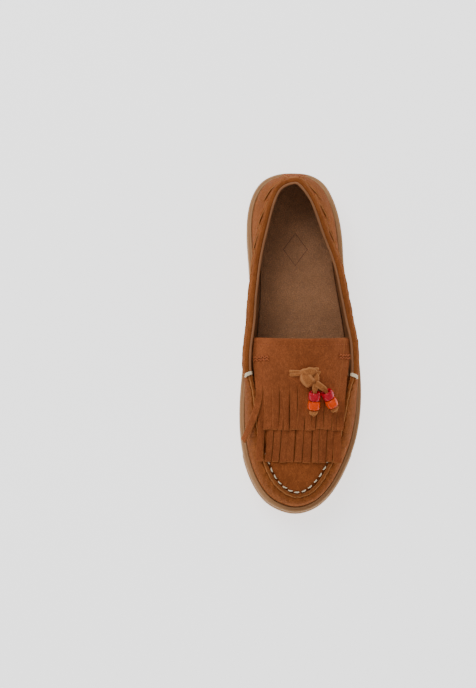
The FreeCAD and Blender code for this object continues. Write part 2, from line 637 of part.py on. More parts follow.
sk2.addGeometry([Part.LineSegment(Vector(lx0, ly0, 0), Vector(lx1, ly0, 0)), Part.LineSegment(Vector(lx1, ly0, 0), Vector(lx1, ly1, 0)),
                 Part.LineSegment(Vector(lx1, ly1, 0), Vector(lx0, ly1, 0)), Part.LineSegment(Vector(lx0, ly1, 0), Vector(lx0, ly0, 0))], False)
legs = body.newObject("PartDesign::Pad", "knot_leg_pad")
legs.Profile = sk2
legs.setExpression("Length", "dims.thong_thk")
body.Tip = legs
body.Label = "bow_knot"
body.Placement = knot_place
nodes["bow_knot"] = body

bead_r, bead_l, bore_r = dim("bead_dia") / 2, dim("bead_len"), dim("bead_bore") / 2
th_w, th_t = dim("thong_wide"), dim("thong_thk")


def bead(name, place, offset):
    """Glass bead, a rounded ring about the thong."""
    b = doc.addObject("PartDesign::Body", name)
    s = new_sketch(b, name + "_section", "XZ_Plane")
    h = bead_l / 2
    e = 1.8
    pts = [Vector(-h, bore_r + 0.5, 0), Vector(-h, bead_r - e, 0), Vector(-h + e, bead_r, 0), Vector(h - e, bead_r, 0),
           Vector(h, bead_r - e, 0), Vector(h, bore_r + 0.5, 0), Vector(h - 0.5, bore_r, 0), Vector(-h + 0.5, bore_r, 0)]
    k = e * (1 - math.sin(math.pi / 4))
    g = [Part.LineSegment(pts[0], pts[1]),
         Part.Arc(pts[1], Vector(-h + k, bead_r - k, 0), pts[2]),
         Part.LineSegment(pts[2], pts[3]),
         Part.Arc(pts[3], Vector(h - k, bead_r - k, 0), pts[4]),
         Part.LineSegment(pts[4], pts[5]), Part.LineSegment(pts[5], pts[6]), Part.LineSegment(pts[6], pts[7]), Part.LineSegment(pts[7], pts[0])]
    s.addGeometry(g, False)
    r = b.newObject("PartDesign::Revolution", name + "_turn")
    r.Profile = s
    r.ReferenceAxis = (s, ["H_Axis"])
    r.Angle = 360
    b.Tip = r
    b.Label = name
    b.Placement = place.multiply(Placement(Vector(offset, 0, 0), Rotation()))
    nodes[name] = b
    return b


def strip_face(path, width):
    """Flat outline of a thong along a plan path in the XY plane, its near end rounded."""
    left, right = [], []
    for i, p in enumerate(path):
        a = path[max(i - 1, 0)]
        b = path[min(i + 1, len(path) - 1)]
        d = (b - a).normalize()
        n = Vector(-d.y, d.x, 0)
        left.append(p + n * (width / 2))
        right.append(p - n * (width / 2))
    d = (path[1] - path[0]).normalize()
    n = Vector(-d.y, d.x, 0)
    cap = []
    for k in range(1, 8):
        a = math.pi * k / 8
        cap.append(path[0] - n * (width / 2 * math.cos(a)) - d * (width / 2 * math.sin(a)))
    pts = left + right[::-1] + cap
    return Part.Face(Part.makePolygon(pts + [pts[0]]))


def tassel(tag, start, centre_xy, angle, seat):
    """A tail: from its pivot beside the knot it bends into a straight run through two beads to its end knot.
    angle is the straight run's turn from straight down the slope, towards +X."""
    cx, cy = centre_xy
    dx, dy = math.sin(math.radians(angle)), -math.cos(math.radians(angle))
    n = normal_at(cx, cy)
    along = (on_kiltie(cx + 7 * dx, cy + 7 * dy, 0) - on_kiltie(cx - 7 * dx, cy - 7 * dy, 0)).normalize()
    place = frame_at(on_kiltie(cx, cy, 0) + n * seat, along, n)
    p0 = Vector(start[0], start[1], 0)
    half_stack = bead_l + 0.15
    p2 = Vector(-half_stack - dim("bead_travel") * 2 - 0.2, 0, 0)
    p1 = p2 - Vector((p2 - p0).Length * 0.5, 0, 0)
    path = [p0 * (1 - t) ** 2 + p1 * 2 * t * (1 - t) + p2 * t * t for t in steps(0, 1, 7)]
    end_x = half_stack + 0.2
    path += [Vector(p2.x + (end_x + 1.5 - p2.x) * k / 4, 0, 0) for k in range(1, 5)]
    strip = strip_face(path, th_w).extrude(Vector(0, 0, th_t))
    strip.translate(Vector(0, 0, -th_t / 2))
    squeeze = Matrix()
    squeeze.scale(0.8, 1.15, 0.85)
    ball = Part.makeSphere(3.0).transformGeometry(squeeze)
    ball.translate(Vector(end_x + 2.4, 0, 0))
    o = doc.addObject("Part::Feature", "tail_" + tag)
    o.Label = "tail_" + tag
    o.Shape = strip.fuse(ball).removeSplitter()
    o.Placement = place
    nodes["tail_" + tag] = o
    bead("bead_red_" + tag, place, -bead_l / 2 - 0.15)
    bead("bead_orange_" + tag, place, bead_l / 2 + 0.15)
    pivot = place.multVec(p0)
    axis = place.Rotation.multVec(Vector(0, 0, 1))
    print("TAIL %s pivot_mm %s axis %s along %s centre %s end_x %.2f path %s" % (
        tag, tuple(pivot), tuple(axis), tuple(along), tuple(place.Base), end_x, [(round(q.x, 2), round(q.y, 2)) for q in path]))
    return place


SEAT = bead_r + 0.45
pa = tassel("inner", (-10.6, 0.0), (8.0, -50.0), -3.0, SEAT)
pb = tassel("outer", (-14.2, -1.6), (18.2, -48.4), 27.0, SEAT)

# ---------------------------------------------------------------- finish
doc.recompute()
bad = [o.Name for o in doc.Objects if "Invalid" in o.State or "Error" in o.State]
if bad:
    raise RuntimeError("failed: %s" % bad)
os.makedirs("parts", exist_ok=True)
for f in os.listdir("parts"):
    if f.endswith(".step"):
        os.remove(os.path.join("parts", f))
box = None
for name, o in nodes.items():
    s = o.Shape
    if s.isNull() or not s.isValid() or not s.Solids or s.Volume <= 0:
        raise RuntimeError("bad shape: %s null=%s valid=%s solids=%d vol=%.3f" % (name, s.isNull(), s.isValid(), len(s.Solids), s.Volume))
    s.exportStep("parts/%s.step" % name)
    b = s.BoundBox
    if box is None:
        box = FreeCAD.BoundBox(b)
    else:
        box.add(b)
    print("%-22s solids %2d  vol %9.1f  x %6.1f..%6.1f  y %7.1f..%7.1f  z %5.1f..%5.1f" % (name, len(s.Solids), s.Volume, b.XMin, b.XMax, b.YMin, b.YMax, b.ZMin, b.ZMax))
print("box", box)
print("fold axis", fold, on_kiltie(0, fold, 0.3).z, "knot", knot_place)
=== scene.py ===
import bpy
import bmesh
import math
import numpy as np
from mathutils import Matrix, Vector


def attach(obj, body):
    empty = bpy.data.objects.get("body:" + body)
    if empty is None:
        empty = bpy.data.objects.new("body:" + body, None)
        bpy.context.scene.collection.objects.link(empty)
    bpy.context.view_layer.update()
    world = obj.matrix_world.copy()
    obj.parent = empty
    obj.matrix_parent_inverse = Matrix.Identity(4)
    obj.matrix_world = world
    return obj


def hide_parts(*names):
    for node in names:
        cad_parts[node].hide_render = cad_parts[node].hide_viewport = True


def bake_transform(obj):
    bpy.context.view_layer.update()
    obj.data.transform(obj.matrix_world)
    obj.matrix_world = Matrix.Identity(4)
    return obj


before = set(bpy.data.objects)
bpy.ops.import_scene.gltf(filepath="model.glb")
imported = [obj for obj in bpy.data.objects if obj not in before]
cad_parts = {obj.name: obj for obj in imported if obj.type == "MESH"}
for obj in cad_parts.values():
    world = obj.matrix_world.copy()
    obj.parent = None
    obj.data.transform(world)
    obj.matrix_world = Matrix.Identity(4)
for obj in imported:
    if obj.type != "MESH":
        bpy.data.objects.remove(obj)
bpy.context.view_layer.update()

rng = np.random.default_rng(11)
MM = 0.001


# ------------------------------------------------------------------ numeric helpers
def bsolve(q, closed=True):
    q = np.array(q, float)
    p = q.copy()
    for _ in range(120):
        a = np.roll(p, 1, 0)
        b = np.roll(p, -1, 0)
        new = (6 * q - a - b) / 4
        if not closed:
            new[0], new[-1] = q[0], q[-1]
        p = 0.5 * p + 0.5 * new
    return p


def beval(p, u):
    n = len(p)
    u = np.mod(np.asarray(u, float), n)
    i = np.floor(u).astype(int)
    f = (u - i)[..., None]
    c = [p[(i + k - 1) % n] for k in range(4)]
    w = ((1 - f) ** 3 / 6, (3 * f ** 3 - 6 * f * f + 4) / 6, (-3 * f ** 3 + 3 * f * f + 3 * f + 1) / 6, f ** 3 / 6)
    return sum(a * b for a, b in zip(w, c))


def pchip(pairs):
    xs = np.array([a for a, _ in pairs], float)
    ys = np.array([b for _, b in pairs], float)
    n = len(xs)
    d = np.diff(ys) / np.diff(xs)
    m = np.zeros(n)
    m[0], m[-1] = d[0], d[-1]
    for i in range(1, n - 1):
        if d[i - 1] * d[i] > 0:
            h0, h1 = xs[i] - xs[i - 1], xs[i + 1] - xs[i]
            w1, w2 = 2 * h1 + h0, h1 + 2 * h0
            m[i] = (w1 + w2) / (w1 / d[i - 1] + w2 / d[i])

    def f(x):
        x = np.clip(np.asarray(x, float), xs[0], xs[-1])
        i = np.clip(np.searchsorted(xs, x, side="right") - 1, 0, n - 2)
        h = xs[i + 1] - xs[i]
        s = (x - xs[i]) / h
        return (ys[i] * (2 * s ** 3 - 3 * s * s + 1) + h * m[i] * (s ** 3 - 2 * s * s + s)
                + ys[i + 1] * (-2 * s ** 3 + 3 * s * s) + h * m[i + 1] * (s ** 3 - s * s))
    return f


def smooth(a, b, x):
    t = np.clip((np.asarray(x, float) - a) / (b - a), 0, 1)
    return t * t * (3 - 2 * t)


def hash3(ix, iy, iz, seed):
    h = (ix * 374761393 + iy * 668265263 + iz * 2147483647 + seed * 1274126177) & 0xFFFFFFFF
    h = ((h ^ (h >> 13)) * 1274126177) & 0xFFFFFFFF
    h = h ^ (h >> 16)
    return (h & 0xFFFFFF) / float(0xFFFFFF) * 2 - 1


def noise(p, size, seed=0):
    """Smooth value noise from -1 to 1 over points in mm, with features of the given size."""
    q = np.asarray(p, float) / size
    i = np.floor(q).astype(np.int64)
    f = q - i
    f = f * f * (3 - 2 * f)
    out = 0
    for dx in (0, 1):
        for dy in (0, 1):
            for dz in (0, 1):
                w = ((f[..., 0] if dx else 1 - f[..., 0]) * (f[..., 1] if dy else 1 - f[..., 1])
                     * (f[..., 2] if dz else 1 - f[..., 2]))
                out = out + w * hash3(i[..., 0] + dx, i[..., 1] + dy, i[..., 2] + dz, seed)
    return out


def norm(a):
    return a / np.maximum(np.linalg.norm(a, axis=-1, keepdims=True), 1e-12)


# ------------------------------------------------------------------ the shoe's surfaces, as the CAD has them, in mm
SOLE = [(-4.5, 135), (5.5, 134), (14.4, 130.2), (21, 123.8), (26, 114.5), (29.8, 103.5), (32.4, 91), (33.8, 77),
        (34.6, 62), (37, 45), (40.2, 27), (43, 10), (45.4, -6), (47.2, -22), (47.9, -39), (47.2, -55), (45.1, -70),
        (41.5, -84), (36, -98), (29, -111.5), (20.5, -123), (10, -131.2), (-2.5, -135), (-14.5, -133.3),
        (-26, -127.2), (-34.5, -117.5), (-40.8, -105), (-45, -91.5), (-47.6, -77), (-48.6, -61), (-48.3, -45),
        (-47, -29), (-45.3, -13), (-43.2, 5), (-41.3, 25), (-40.5, 45), (-41.3, 63), (-42.4, 78), (-42.8, 92),
        (-41.5, 105), (-38, 117), (-32, 126.5), (-24, 132), (-14.5, 134.6)]
TOP = [(-6.8, 118.6, 80.5), (0.3, 115.9, 79.7), (8.8, 104.8, 76.3), (15.2, 89.6, 71.8), (20.7, 74.6, 67.8),
       (25.4, 63.1, 65.3), (29.7, 49, 63.3), (32.4, 35.6, 62.3), (35.4, 19.9, 62.3), (37.7, 8, 62.7),
       (40.2, -3.9, 63), (41.2, -18, 62.5), (41, -32, 61), (38.2, -42.7, 59.3), (35.9, -54.2, 57.2),
       (33.6, -65.6, 54.6), (31.3, -76.9, 51.7), (28.5, -86.8, 49.4), (25.2, -96.3, 47.5), (20.9, -106, 46.2),
       (14.6, -115.6, 45.2), (6.2, -122.9, 44.5), (-4, -125.6, 44.3), (-13.4, -122.6, 44.5),
       (-22.2, -114.9, 45.2), (-28.2, -104.5, 46.6), (-31.6, -95, 48.5), (-33.7, -86, 50.6),
       (-35.2, -77.1, 53.2), (-36.8, -65.7, 56), (-38.2, -54.3, 58.6), (-39.6, -42.9, 61), (-42, -32.3, 63),
       (-42.6, -18.4, 64.5), (-41.3, -4.5, 65), (-39.2, 11.3, 64.5), (-38.2, 26.9, 64.6), (-37, 38.7, 65.1),
       (-35.1, 54.1, 66.6), (-32.3, 69.4, 69.1), (-28.6, 84.9, 72.2), (-24.4, 100.8, 76.2), (-17.6, 113.9, 79.3)]
NS, NT = len(SOLE), len(TOP)
SP = bsolve([(x + 0.35, y) for x, y in SOLE])
TP = bsolve([(x + 0.35, y, z) for x, y, z in TOP])
s_to_t = pchip([(0, 0), (3, 1.3), (6, 3.0), (8, 5.1), (10, 7.55), (12, 10.15), (14, 12.7), (16, 15.4), (18, 17.6),
                (20, 19.9), (22, 22), (24, 24.1), (26, 25.6), (28, 28), (30, 30.8), (32, 33.4), (34, 35.9),
                (36, 38.6), (38, 40.4), (40, 41.6), (42, 42.5), (44, 43)])
rim_z = pchip([(-135, 26.5), (-120, 26), (-90, 24.5), (-50, 24), (0, 25.5), (40, 28), (80, 30.5), (135, 32)])
ground_z = pchip([(-137, 9), (-128, 6.6), (-116, 3.8), (-104, 1.8), (-92, 0.5), (-82, 0), (116, 0), (122, 0.25), (129, 1.2), (137, 3.4)])
mid_z = pchip([(-137, 17.5), (-120, 15.2), (-90, 13.2), (-50, 12.8), (0, 15), (40, 18), (80, 20), (137, 20.5)])
out0 = pchip([(0, 1.5), (8, 1.2), (14, 1.5), (18, 1.4), (22, 1.0), (26, 1.4), (30, 1.5), (36, 1.2), (44, 1.5)])
up0 = pchip([(0, 16), (6, 15), (12, 14), (15, 12), (18, 10), (22, 8.5), (26, 10), (29, 12), (32, 14), (38, 15), (44, 16)])
out1 = pchip([(0, 5.2), (5, 5.0), (8, 5.6), (11, 5.6), (13.5, 4.6), (16, 5.4), (19, 5.6), (22, 5.0), (25, 5.6), (28, 5.4),
              (31, 5.2), (33, 7.4), (36, 7.4), (39, 5.4), (44, 5.2)])
dn1 = pchip([(0, 11), (6, 11), (11, 11.5), (13.5, 9), (16, 4.6), (19, 2.4), (22, 1.5), (25, 2.4), (28, 4.6), (31, 9),
             (34, 11.5), (38, 11), (44, 11)])
ap_mid_z = pchip([(-125, 43.6), (-121, 45.2), (-112, 47.4), (-96, 52), (-77, 59), (-54, 68), (-32, 76.5), (-18, 81.5), (-5, 86), (0, 87.5)])
ap_side_z = pchip([(-125, 42.8), (-112, 43.4), (-96, 45.6), (-77, 50.3), (-54, 56), (-43, 58), (-32, 58.8), (-18, 58.6), (0, 58)])
ap_half = pchip([(-125, 1.6), (-123, 3.6), (-121, 8.0), (-119, 11.1), (-116, 14.5), (-112, 17.85), (-105, 22.0), (-96, 25.75), (-87, 28.5),
                 (-77, 30.8), (-66, 32.8), (-54, 34.8), (-43, 36.2), (-32, 36.4), (-18, 36.2), (0, 35.2)])
ap_cx = pchip([(-125, -3.4), (-116, -3.1), (-105, -2.95), (-96, -2.7), (-77, -1.7), (-54, -0.85), (-32, -0.2), (0, -0.4)])
RIM, CUP = 4.5, 0.2
LAT, MED = 13.45, 31.0
LEATHER, INSIDE = 1.4, 3.7


def sole_point(u, inset=0.0):
    p = beval(SP, u)
    t = norm(beval(SP, np.asarray(u) + 0.02) - beval(SP, np.asarray(u) - 0.02))
    n = np.stack([-t[..., 1], t[..., 0]], -1)
    return p - n * np.asarray(inset)[..., None], n


def top_point(u):
    return beval(TP, s_to_t(np.mod(u, NS)))


def wall_point(u, v):
    u, v = np.broadcast_arrays(np.asarray(u, float), np.asarray(v, float))
    f, n = sole_point(u, RIM + CUP)
    zr = rim_z(f[..., 1])
    zb = mid_z(f[..., 1]) + 0.2
    low = np.stack([f[..., 0], f[..., 1], zr + np.minimum(v, 0) * (zr - zb)], -1)
    t = top_point(u)
    um = np.mod(u, NS)
    p0 = np.stack([f[..., 0], f[..., 1], zr], -1)
    a = np.stack([f[..., 0] + n[..., 0] * out0(um), f[..., 1] + n[..., 1] * out0(um), zr + up0(um)], -1)
    b = np.stack([t[..., 0] + n[..., 0] * out1(um), t[..., 1] + n[..., 1] * out1(um), t[..., 2] - dn1(um)], -1)
    w = np.clip(v, 0, 1)[..., None]
    high = (1 - w) ** 3 * p0 + 3 * w * (1 - w) ** 2 * a + 3 * w * w * (1 - w) * b + w ** 3 * t
    return np.where((v <= 0)[..., None], low, high)


def wall_normal(u, v):
    u, v = np.broadcast_arrays(np.asarray(u, float), np.asarray(v, float))
    vv = np.clip(v, 0.0, 1.0)
    du = wall_point(u + 0.05, vv) - wall_point(u - 0.05, vv)
    dv = wall_point(u, np.minimum(vv + 0.03, 1)) - wall_point(u, np.maximum(vv - 0.03, 0))
    n = norm(np.cross(dv, du))
    _, h = sole_point(u)
    flip = np.sign(n[..., 0] * h[..., 0] + n[..., 1] * h[..., 1])
    n = n * np.where(flip == 0, 1, flip)[..., None]
    flat = np.stack([h[..., 0], h[..., 1], np.zeros_like(h[..., 0])], -1)
    k = np.clip(v / 0.12, 0, 1)[..., None]
    return norm(flat * (1 - k) + n * k)


def wall(u, v, deep):
    return wall_point(u, v) - wall_normal(u, v) * np.asarray(deep, float)[..., None]


def apron_z(x, y):
    """Height of the apron's outer face, carried on past its edge with the slope it has there."""
    w = np.abs((x - ap_cx(y)) / ap_half(y))
    drop = ap_mid_z(y) - ap_side_z(y)
    return ap_mid_z(y) - drop * np.where(w < 1, w ** 2.3, 1 + 2.3 * (w - 1) * 0.7)


def apron_at(x, y, high):
    x, y = np.broadcast_arrays(np.asarray(x, float), np.asarray(y, float))
    e = 0.4
    z = apron_z(x, y)
    gx = (apron_z(x + e, y) - apron_z(x - e, y)) / (2 * e)
    gy = (apron_z(x, y + e) - apron_z(x, y - e)) / (2 * e)
    n = norm(np.stack([-gx, -gy, np.ones_like(gx)], -1))
    return np.stack([x, y, z], -1) + n * np.asarray(high, float)[..., None], n


# ------------------------------------------------------------------ mesh helpers
def add_mesh(name, verts, faces, mat, body="root", nodes=(), recalc=True, merge=0.0, attrs=None):
    me = bpy.data.meshes.new(name)
    me.from_pydata((np.asarray(verts, float) * MM).tolist(), [], [tuple(int(i) for i in f) for f in faces])
    if attrs:
        for key, values in attrs.items():
            a = me.attributes.new(key, "FLOAT", "POINT")
            a.data.foreach_set("value", np.asarray(values, np.float32))
    if recalc or merge:
        bm = bmesh.new()
        bm.from_mesh(me)
        if merge:
            bmesh.ops.remove_doubles(bm, verts=bm.verts, dist=merge * MM)
            bmesh.ops.dissolve_degenerate(bm, edges=bm.edges, dist=1e-7)
        if recalc:
            bmesh.ops.recalc_face_normals(bm, faces=bm.faces)
        bm.to_mesh(me)
        bm.free()
    me.materials.append(mat)
    for p in me.polygons:
        p.use_smooth = True
    ob = bpy.data.objects.new(name, me)
    bpy.context.scene.collection.objects.link(ob)
    if nodes:
        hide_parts(*nodes)
    if body:
        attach(ob, body)
    return ob


def quads(n, m, wrap_n=False, wrap_m=False, start=0, flip=False):
    i = np.arange(n if wrap_n else n - 1)
    j = np.arange(m if wrap_m else m - 1)
    a, b = np.meshgrid(i, j, indexing="ij")
    a, b = a.ravel(), b.ravel()
    a2, b2 = (a + 1) % n, (b + 1) % m
    f = np.stack([a * m + b, a2 * m + b, a2 * m + b2, a * m + b2], -1) + start
    return (f[:, ::-1] if flip else f).tolist()


def shell(outer, inner):
    """Closed solid between two grids of the same shape, not wrapped."""
    n, m = outer.shape[:2]
    v = np.concatenate([outer.reshape(-1, 3), inner.reshape(-1, 3)])
    k = n * m
    f = quads(n, m) + quads(n, m, start=k, flip=True)
    for j0 in (0, m - 1):
        for i in range(n - 1):
            a, b = i * m + j0, (i + 1) * m + j0
            f.append((a, a + k, b + k, b) if j0 == 0 else (a, b, b + k, a + k))
    for i0 in (0, n - 1):
        for j in range(m - 1):
            a, b = i0 * m + j, i0 * m + j + 1
            f.append((a, b, b + k, a + k) if i0 == 0 else (a, a + k, b + k, b))
    return v, f


def sweep(path, normal, profile, scale=None, closed=False, twist=None):
    """Tube of a closed profile (across, up) along a path; normal is the up direction at each point."""
    path, normal = np.asarray(path, float), np.asarray(normal, float)
    n, m = len(path), len(profile)
    if closed:
        t = norm(np.roll(path, -1, 0) - np.roll(path, 1, 0))
    else:
        t = norm(np.gradient(path, axis=0))
    up = norm(normal - t * np.sum(normal * t, 1, keepdims=True))
    side = np.cross(up, t)
    if twist is not None:
        c, s = np.cos(twist)[:, None], np.sin(twist)[:, None]
        up, side = up * c - side * s, side * c + up * s
    prof = np.asarray(profile, float)
    if scale is None:
        scale = np.ones((n, 2))
    scale = np.asarray(scale, float)
    if scale.ndim == 1:
        scale = np.stack([scale, scale], 1)
    v = (path[:, None, :] + side[:, None, :] * (prof[None, :, 0] * scale[:, 0:1])[..., None]
         + up[:, None, :] * (prof[None, :, 1] * scale[:, 1:2])[..., None])
    f = quads(n, m, wrap_n=closed, wrap_m=True)
    v = v.reshape(-1, 3)
    if not closed:
        f.append(list(range(m))[::-1])
        f.append([(n - 1) * m + j for j in range(m)])
    return v, f


def join(parts):
    vs, fs, k = [], [], 0
    for v, f in parts:
        vs.append(np.asarray(v, float))
        fs += [[i + k for i in q] for q in f]
        k += len(v)
    return np.concatenate(vs), fs


def circle(r, m=10, flat=1.0):
    a = np.arange(m) * 2 * math.pi / m
    return np.stack([r * np.cos(a), r * flat * np.sin(a)], -1)


def band(width, thick, m=4, r=None):
    """Rounded-rectangle section."""
    r = min(width, thick) * 0.42 if r is None else r
    pts = []
    for cx, cy, a0 in ((width / 2 - r, thick / 2 - r, 0), (-width / 2 + r, thick / 2 - r, 90),
                       (-width / 2 + r, -thick / 2 + r, 180), (width / 2 - r, -thick / 2 + r, 270)):
        for k in range(m + 1):
            a = math.radians(a0 + 90 * k / m)
            pts.append((cx + r * math.cos(a), cy + r * math.sin(a)))
    return np.array(pts)


def stitch(p0, p1, n0, n1, r, sink=0.9, arch=0.35, twist=True):
    """One visible stitch: it comes up out of the leather, lies on it and goes down again."""
    k = 13
    t = np.linspace(0, 1, k)
    path = p0[None] * (1 - t)[:, None] + p1[None] * t[:, None]
    nn = norm(n0[None] * (1 - t)[:, None] + n1[None] * t[:, None])
    rise = r * (1 + arch) * np.clip(1 - np.abs(2 * t - 1) ** 5, 0, 1) - r * sink * np.abs(2 * t - 1) ** 5
    path = path + nn * rise[:, None]
    sc = 1 - 0.35 * np.abs(2 * t - 1) ** 4
    return sweep(path, nn, circle(r, 9), sc)


def resample(path, step):
    path = np.asarray(path, float)
    d = np.concatenate([[0], np.cumsum(np.linalg.norm(np.diff(path[:, :3], axis=0), axis=1))])
    n = max(int(round(d[-1] / step)), 1)
    s = np.linspace(0, d[-1], n + 1)
    return np.stack([np.interp(s, d, path[:, k]) for k in range(path.shape[1])], 1)


def catmull(points, n):
    """Smooth curve through points, evenly sampled."""
    p = np.asarray(points, float)
    ext = np.concatenate([[2 * p[0] - p[1]], p, [2 * p[-1] - p[-2]]])
    u = np.linspace(0, len(p) - 1, n)
    i = np.clip(np.floor(u).astype(int), 0, len(p) - 2)
    f = (u - i)[:, None]
    a, b, c, d = ext[i], ext[i + 1], ext[i + 2], ext[i + 3]
    return 0.5 * (2 * b + (c - a) * f + (2 * a - 5 * b + 4 * c - d) * f * f + (3 * b - a - 3 * c + d) * f ** 3)


# ------------------------------------------------------------------ materials
def new_mat(name):
    m = bpy.data.materials.new(name)
    m.use_nodes = True
    nt = m.node_tree
    b = nt.nodes["Principled BSDF"]
    return m, nt, b


def N(nt, kind, **inputs):
    nd = nt.nodes.new(kind)
    for k, v in inputs.items():
        if k in nd.inputs:
            nd.inputs[k].default_value = v
        else:
            setattr(nd, k, v)
    return nd


def tex_noise(nt, co, scale, detail=3.0, rough=0.55, stretch=None):
    nd = N(nt, "ShaderNodeTexNoise")
    nd.inputs["Scale"].default_value = scale
    nd.inputs["Detail"].default_value = detail
    nd.inputs["Roughness"].default_value = rough
    if stretch:
        mp = N(nt, "ShaderNodeMapping")
        mp.inputs["Scale"].default_value = stretch
        nt.links.new(co, mp.inputs["Vector"])
        nt.links.new(mp.outputs["Vector"], nd.inputs["Vector"])
    else:
        nt.links.new(co, nd.inputs["Vector"])
    return nd.outputs["Fac"]


def mixc(nt, fac, a, b, blend="MIX"):
    nd = nt.nodes.new("ShaderNodeMix")
    nd.data_type = "RGBA"
    nd.blend_type = blend
    ins = [i for i in nd.inputs if i.enabled]
    for sock, val in zip(ins, (fac, a, b)):
        if hasattr(val, "default_value") or isinstance(val, bpy.types.NodeSocket):
            nt.links.new(val, sock)
        elif isinstance(val, (int, float)):
            sock.default_value = val
        else:
            sock.default_value = (*val[:3], 1)
    return [o for o in nd.outputs if o.enabled][0]


def remap(nt, val, a, b, c=0.0, d=1.0, kind="SMOOTHSTEP"):
    nd = nt.nodes.new("ShaderNodeMapRange")
    nd.interpolation_type = kind
    nd.inputs["From Min"].default_value = a
    nd.inputs["From Max"].default_value = b
    nd.inputs["To Min"].default_value = c
    nd.inputs["To Max"].default_value = d
    nt.links.new(val, nd.inputs["Value"])
    return nd.outputs["Result"]


def math_node(nt, op, a, b=None):
    nd = nt.nodes.new("ShaderNodeMath")
    nd.operation = op
    for s, v in zip(nd.inputs, (a, b)):
        if v is None:
            continue
        if isinstance(v, bpy.types.NodeSocket):
            nt.links.new(v, s)
        else:
            s.default_value = v
    return nd.outputs[0]


def bump(nt, b, height, strength, distance, prev=None):
    nd = nt.nodes.new("ShaderNodeBump")
    nd.inputs["Strength"].default_value = strength
    nd.inputs["Distance"].default_value = distance
    nt.links.new(height, nd.inputs["Height"])
    if prev is not None:
        nt.links.new(prev, nd.inputs["Normal"])
    nt.links.new(nd.outputs["Normal"], b.inputs["Normal"])
    return nd.outputs["Normal"]


def coords(nt):
    return N(nt, "ShaderNodeTexCoord").outputs["Object"]


def suede(name, base, light=1.38, dark=0.58, raw=None, sheen=0.05, fibre=(1.0, 1.0, 1.0), blotch=45.0):
    m, nt, b = new_mat(name)
    co = coords(nt)
    base = np.array(base)
    big = tex_noise(nt, co, blotch, 4.0, 0.6)
    mott = tex_noise(nt, co, 130.0, 4.0, 0.65)
    brush = tex_noise(nt, co, 420.0, 3.0, 0.65, stretch=(1.0, 0.5, 1.0))
    fine = tex_noise(nt, co, 1400.0, 3.0, 0.7, stretch=fibre)
    nap = tex_noise(nt, co, 5200.0, 2.0, 0.8)
    c = mixc(nt, remap(nt, big, 0.32, 0.68), base * 0.84, base * 1.14)
    c = mixc(nt, remap(nt, mott, 0.45, 0.70, 0.0, 0.55), c, base * 0.72)
    c = mixc(nt, remap(nt, brush, 0.42, 0.70, 0.0, 0.6), c, base * light * np.array([1.0, 1.06, 1.1]))
    c = mixc(nt, remap(nt, fine, 0.42, 0.64, 0.0, 0.7), c, base * dark)
    c = mixc(nt, remap(nt, nap, 0.5, 0.75, 0.0, 0.36), c, base * light * 1.2)
    if raw is not None:
        at = N(nt, "ShaderNodeAttribute")
        at.attribute_name = "raw"
        edge = math_node(nt, "MULTIPLY", at.outputs["Fac"], remap(nt, fine, 0.25, 0.6, 0.6, 1.0))
        c = mixc(nt, edge, c, raw)
    nt.links.new(c, b.inputs["Base Color"])
    nt.links.new(remap(nt, fine, 0.3, 0.7, 0.84, 1.0), b.inputs["Roughness"])
    b.inputs["Specular IOR Level"].default_value = 0.06
    b.inputs["Sheen Weight"].default_value = sheen
    b.inputs["Sheen Roughness"].default_value = 0.5
    b.inputs["Sheen Tint"].default_value = (1.0, 0.42, 0.14, 1)
    nrm = bump(nt, b, fine, 0.7, 0.0005)
    nrm = bump(nt, b, nap, 0.45, 0.0002, nrm)
    bump(nt, b, brush, 0.5, 0.0008, nrm)
    return m


def leather(name, base, pebble=900.0, rough=0.5, deep=0.00022, light=1.2, dark=0.6):
    m, nt, b = new_mat(name)
    co = coords(nt)
    base = np.array(base)
    vo = N(nt, "ShaderNodeTexVoronoi")
    vo.feature = "DISTANCE_TO_EDGE"
    vo.inputs["Scale"].default_value = pebble
    warp = N(nt, "ShaderNodeVectorMath")
    warp.operation = "MULTIPLY_ADD"
    ns = N(nt, "ShaderNodeTexNoise")
    ns.inputs["Scale"].default_value = pebble * 0.6
    nt.links.new(co, ns.inputs["Vector"])
    nt.links.new(ns.outputs["Color"], warp.inputs[0])
    warp.inputs[1].default_value = (0.0006, 0.0006, 0.0006)
    nt.links.new(co, warp.inputs[2])
    nt.links.new(warp.outputs[0], vo.inputs["Vector"])
    cell = remap(nt, vo.outputs["Distance"], 0.0, 0.22)
    big = tex_noise(nt, co, 40.0, 4.0, 0.6)
    mid = tex_noise(nt, co, 350.0, 3.0, 0.6)
    c = mixc(nt, remap(nt, big, 0.3, 0.7), base * 0.84, base * 1.12)
    c = mixc(nt, remap(nt, mid, 0.4, 0.7, 0.0, 0.35), c, base * light)
    c = mixc(nt, remap(nt, cell, 0.0, 1.0, 0.55, 0.0), c, base * dark)
    nt.links.new(c, b.inputs["Base Color"])
    nt.links.new(remap(nt, mid, 0.3, 0.7, rough - 0.06, rough + 0.1), b.inputs["Roughness"])
    b.inputs["Specular IOR Level"].default_value = 0.35
    nrm = bump(nt, b, cell, 0.6, deep)
    bump(nt, b, mid, 0.3, 0.0004, nrm)
    return m


